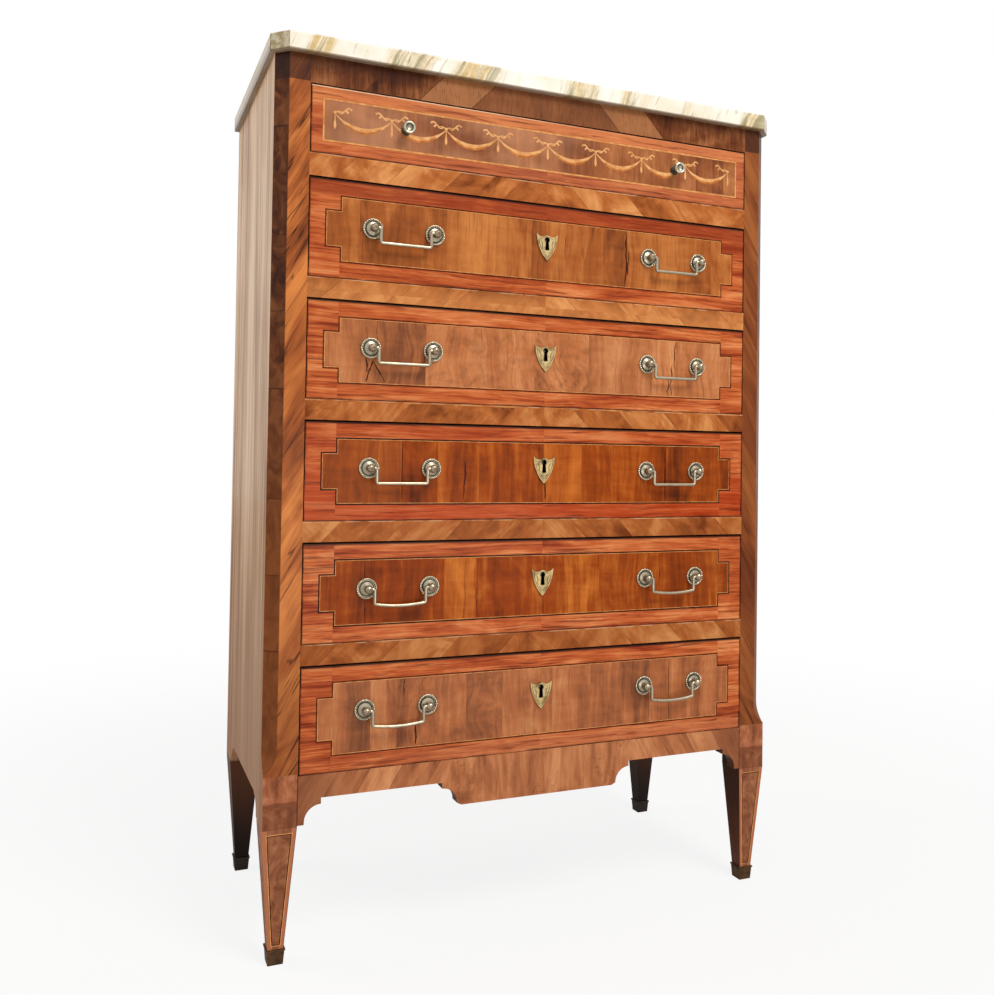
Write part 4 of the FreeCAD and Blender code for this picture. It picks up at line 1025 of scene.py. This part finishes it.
def steppedOutline(number, inset):
    # panel with a square step cut out of each corner
    low, high = fronts[number]
    ear = high.x - inlay["margin"] - inset
    main = high.x - inlay["margin"] - inlay["ear"] - inset
    base = low.z + inlay["margin"] + inset
    top = high.z - inlay["margin"] - inset
    notch = inlay["notch"]
    return [(-main, base), (main, base), (main, base + notch), (ear, base + notch), (ear, top - notch),
            (main, top - notch), (main, top), (-main, top), (-main, top - notch), (-ear, top - notch),
            (-ear, base + notch), (-main, base + notch)]


def layLeaves(made, number, outline, draw):
    # leaves are cut at the panel's steps and round the keyhole, and every second one is turned over
    main, ear = outline[1][0], outline[3][0]
    base, top = outline[0][1], outline[6][1]
    notch, hole = inlay["notch"], inlay["holeHalf"]
    key = middleHeight(f"drawer_{number}_escutcheon") + inlay["keyRise"]
    uvs = made.loops.layers.uv.new("grainMap")
    tones = made.faces.layers.float_vector.new("leaf")
    left = -ear
    for step, (edge, *marks) in enumerate(leaves[number]):
        right = min(edge * mm, ear)
        cuts = sorted({left, right, *[cut for cut in (-main, -hole, hole, main) if left < cut < right]})
        shift = Vector((draw.uniform(0, 9), draw.uniform(0, 9)))
        flip = -1 if step % 2 else 1
        for start, end in zip(cuts, cuts[1:]):
            away = abs(start + end) / 2
            low, high = (base, top) if away < main else (base + notch, top - notch)
            spans = [(low, high)]
            if away < hole:
                spans = [(low, key - inlay["holeDrop"]), (key + inlay["holeRise"], high)]
            for bottom, upper in spans:
                shape = [(start, bottom), (end, bottom), (end, upper), (start, upper)]
                for face in prism(made, shape, panelFront, inlayBack):
                    face[tones] = Vector(marks)
                    for loop in face.loops:
                        place = loop.vert.co
                        loop[uvs].uv = (shift.x + flip * (place.x - left), shift.y + place.z)
        left = right


def layCracks(made, number, base, top, draw):
    # wandering slits that thin out at both ends
    steps = inlay["crackSteps"]
    for x, start, stop, width, wander, *lean in cracks[number]:
        points, widths = [], []
        drift = 0
        for step in range(steps + 1):
            share = step / steps
            drift += draw.uniform(-1, 1) * wander / 3
            height = start + (stop - start) * share
            points.append(((x + drift + sum(lean) * share) * mm, base + (top - base) * height))
            taper = min(1, 4 * share + 0.3, 4 * (1 - share) + 0.3)
            widths.append(width * mm * max(0.12, draw.uniform(0.4, 1) * taper))
        useSecond(prism(made, ribbon(points, widths), panelFront - inlay["lap"], inlayBack))


def panelPiece(number):
    body = f"drawer_{number}"
    dark, light = inlay["darkLine"], inlay["lightLine"]
    outer, between, inner = [steppedOutline(number, inset) for inset in (0, dark, dark + light)]
    made = bmesh.new()
    draw = random.Random(100 + number)
    layLeaves(made, number, inner, draw)
    layCracks(made, number, inner[0][1], inner[6][1], draw)
    finishPiece(made, f"{body}_panel", body,
                [f"walnutPanel{number}", inlay["crackLook"][number]])
    made = bmesh.new()
    ring(made, outer, between, stringFront, inlayBack)
    useSecond(ring(made, between, inner, stringFront, inlayBack))
    finishPiece(made, f"{body}_stringing", body, [inlay["lineLook"][number], "boxwood"])


for number in deepDrawers:
    panelPiece(number)

print("frieze drawer inlay")
# the tassels' widths are in mm; each tail has its lift, its reach and how many laps it lies over the swags
garland = {
    "half": 373 * mm, "topMargin": 17.5 * mm, "baseMargin": 18.5 * mm, "line": 2.4 * mm, "swags": 8,
    "pitch": 88.7 * mm, "knotDrop": 22 * mm, "sag": 21 * mm, "thin": 0.9 * mm, "thick": 8.4 * mm,
    "shade": 0.36, "swagSteps": 16, "bare": 3, "tassel": 23 * mm,
    "tasselPlaces": (0, 0.2, 0.45, 0.7, 0.88, 1), "tasselWidths": (1.0, 1.3, 2.6, 4.2, 3.8, 1.0),
    "tail": 26 * mm, "tails": ((8 * mm, 1.0, 1), (2.5 * mm, 0.78, 0)), "tailSteps": 10, "wave": 2 * mm,
    "waves": 3.2, "knotRise": 2 * mm, "knotWide": 2.7 * mm, "knotHigh": 2.2 * mm,
}


def friezeGround(base, top):
    half, line = garland["half"], garland["line"]
    outer, inner = [panelShape(half, half, base, top, inset) for inset in (0, line)]
    made = bmesh.new()
    prism(made, inner, panelFront, inlayBack)
    finishPiece(made, "drawer_1_panel", "drawer_1", ["friezePanel"])
    made = bmesh.new()
    ring(made, outer, inner, stringFront, inlayBack)
    finishPiece(made, "drawer_1_stringing", "drawer_1", ["boxwood"])


def laySwag(made, start, knotZ):
    # a festoon that thickens as it hangs, with a scorched lower edge
    plan = garland
    points, widths = [], []
    for step in range(plan["swagSteps"] + 1):
        share = step / plan["swagSteps"]
        hang = 4 * share * (1 - share)
        points.append((start + share * plan["pitch"], knotZ - plan["sag"] * hang))
        widths.append(plan["thin"] + plan["thick"] * hang ** 1.5)
    prism(made, ribbon(points, widths), stringFront, inlayBack)
    thicker = slice(plan["bare"], -plan["bare"])
    below = 0.5 - plan["shade"] / 2
    lower = [(x, z - width * below) for (x, z), width in zip(points[thicker], widths[thicker])]
    shadeWidths = times(plan["shade"], *widths[thicker])
    useSecond(prism(made, ribbon(lower, shadeWidths), stringFront - inlay["lap"], inlayBack))


def layTail(made, x, level, side, lift, reach, over):
    # one waving end of a bow
    plan = garland
    points, widths = [], []
    for step in range(plan["tailSteps"] + 1):
        share = step / plan["tailSteps"]
        wave = plan["wave"] * math.sin(share * plan["waves"] * math.pi) * (0.4 + share)
        points.append((x + side * plan["tail"] * reach * share, level + lift * share + wave))
        widths.append((1.0 + 1.9 * share) * mm)
    prism(made, ribbon(points, widths), stringFront - over * inlay["lap"], inlayBack)


def garlandPiece(top):
    plan = garland
    made = bmesh.new()
    knotZ = top - plan["knotDrop"]
    level = knotZ + plan["knotRise"]
    first = -plan["swags"] / 2 * plan["pitch"]
    for swag in range(plan["swags"]):
        laySwag(made, first + swag * plan["pitch"], knotZ)
    for knot in range(plan["swags"] + 1):
        x = first + knot * plan["pitch"]
        drop = [(x, knotZ - share * plan["tassel"]) for share in plan["tasselPlaces"]]
        prism(made, ribbon(drop, times(mm, *plan["tasselWidths"])), stringFront, inlayBack)
        for side in (-1, 1):
            if 0 <= knot + side <= plan["swags"]:
                for lift, reach, over in plan["tails"]:
                    layTail(made, x, level, side, lift, reach, over)
        turns = [step * math.pi / 5 for step in range(10)]
        bow = [(x + math.cos(turn) * plan["knotWide"], level + math.sin(turn) * plan["knotHigh"])
               for turn in turns]
        prism(made, bow, stringFront - 2 * inlay["lap"], inlayBack)
    finishPiece(made, "drawer_1_garland", "drawer_1", ["garlandWood", "scorchedGarlandWood"])


friezeTop = frontTops[0] - garland["topMargin"]
friezeGround(frontBases[0] + garland["baseMargin"], friezeTop)
garlandPiece(friezeTop)

print("pearl rims")
pearls = {"radius": 14.6 * mm, "count": 24, "bead": 1.6 * mm, "height": 2.2 * mm}


def pearlPiece(number):
    plan = pearls
    made = bmesh.new()
    for hand in ("left", "right"):
        middle, _, level = joints[f"drawer_{number}_{hand}_bail_swing"]["pos_m"]
        for end in (-1, 1):
            centre = middle + end * handleSpan
            for bead in range(plan["count"]):
                turn = 2 * math.pi * bead / plan["count"]
                place = Vector((centre + plan["radius"] * math.cos(turn), frontY - plan["height"],
                                level + plan["radius"] * math.sin(turn)))
                bmesh.ops.create_icosphere(made, subdivisions=2, radius=plan["bead"],
                                           matrix=Matrix.Translation(place))
    finishPiece(made, f"drawer_{number}_pearls", f"drawer_{number}", ["pearlMetal"], smooth=True)


for number in deepDrawers:
    pearlPiece(number)

print("engraved shields")
engraving = {"proud": 0.02 * mm, "deep": 0.3 * mm, "startShare": 0.5, "endShare": 0.4}
# strokes in mm from the shield's middle, drawn on the right half and mirrored; the last number is the width
strokes = [
    ([(15, 16), (15, 9), (13, 2), (9.4, -6), (4.6, -14), (0, -18.6)], 1.0),
    ([(15, 16), (10.5, 12.6), (6, 15.6), (0, 18)], 0.9),
    ([(12.6, 11.4), (9.8, 8.4), (8.4, 4), (9.2, -0.6), (7.2, -5.6)], 1.3),
    ([(7.2, -5.6), (4.4, -9), (1.6, -10.6)], 1.1),
    ([(4.8, -9.4), (2.6, -13), (0, -15.4)], 0.8),
]


def engravedShield(number):
    plan = engraving
    node = f"drawer_{number}_escutcheon"
    face = corners(node)[0].y
    middle = middleHeight(node)
    made = bmesh.new()
    for line, width in strokes:
        shares = [plan["startShare"], *[1.0] * (len(line) - 2), plan["endShare"]]
        for side in (-1, 1):
            points = [(side * x * mm, middle + z * mm) for x, z in line]
            prism(made, ribbon(points, times(width * mm, *shares)), face - plan["proud"], face + plan["deep"])
    finishPiece(made, f"{node}_engraving", f"drawer_{number}", ["engravedLines"])


for number in deepDrawers:
    engravedShield(number)

print("leg inlay")
legLines = {
    "top": 196 * mm, "base": 28 * mm, "topHalf": 19.6 * mm, "baseHalf": 7.2 * mm, "light": 1.1 * mm,
    "dark": 1.3 * mm, "proud": 0.15 * mm, "deep": 0.5 * mm,
}


def legInlay(hand, side):
    # a light line with a dark one inside it, on the front and the outer side of a leg
    plan = legLines
    sizes = [plan[key] for key in ("baseHalf", "topHalf", "base", "top")]
    insets = (0, plan["light"], plan["light"] + plan["dark"])
    outer, between, inner = [panelShape(*sizes, inset) for inset in insets]
    made = bmesh.new()
    for face in ("front", "side"):
        before = len(made.verts)
        ring(made, outer, between, -plan["proud"], plan["deep"])
        useSecond(ring(made, between, inner, -plan["proud"], plan["deep"]))
        for vertex in list(made.verts)[before:]:
            offset, depth, z = vertex.co
            depth += (leg["top"] - z) * leg["tilt"]
            if face == "front":
                vertex.co = (side * (caseHalf - leg["middle"]) + offset, frontY + depth, z)
            else:
                vertex.co = (side * (caseHalf - depth), frontY + leg["middle"] + side * offset, z)
    finishPiece(made, f"front_{hand}_leg_lines", "case", ["boxwood", "ebony"])


legInlay("left", -1)
legInlay("right", 1)
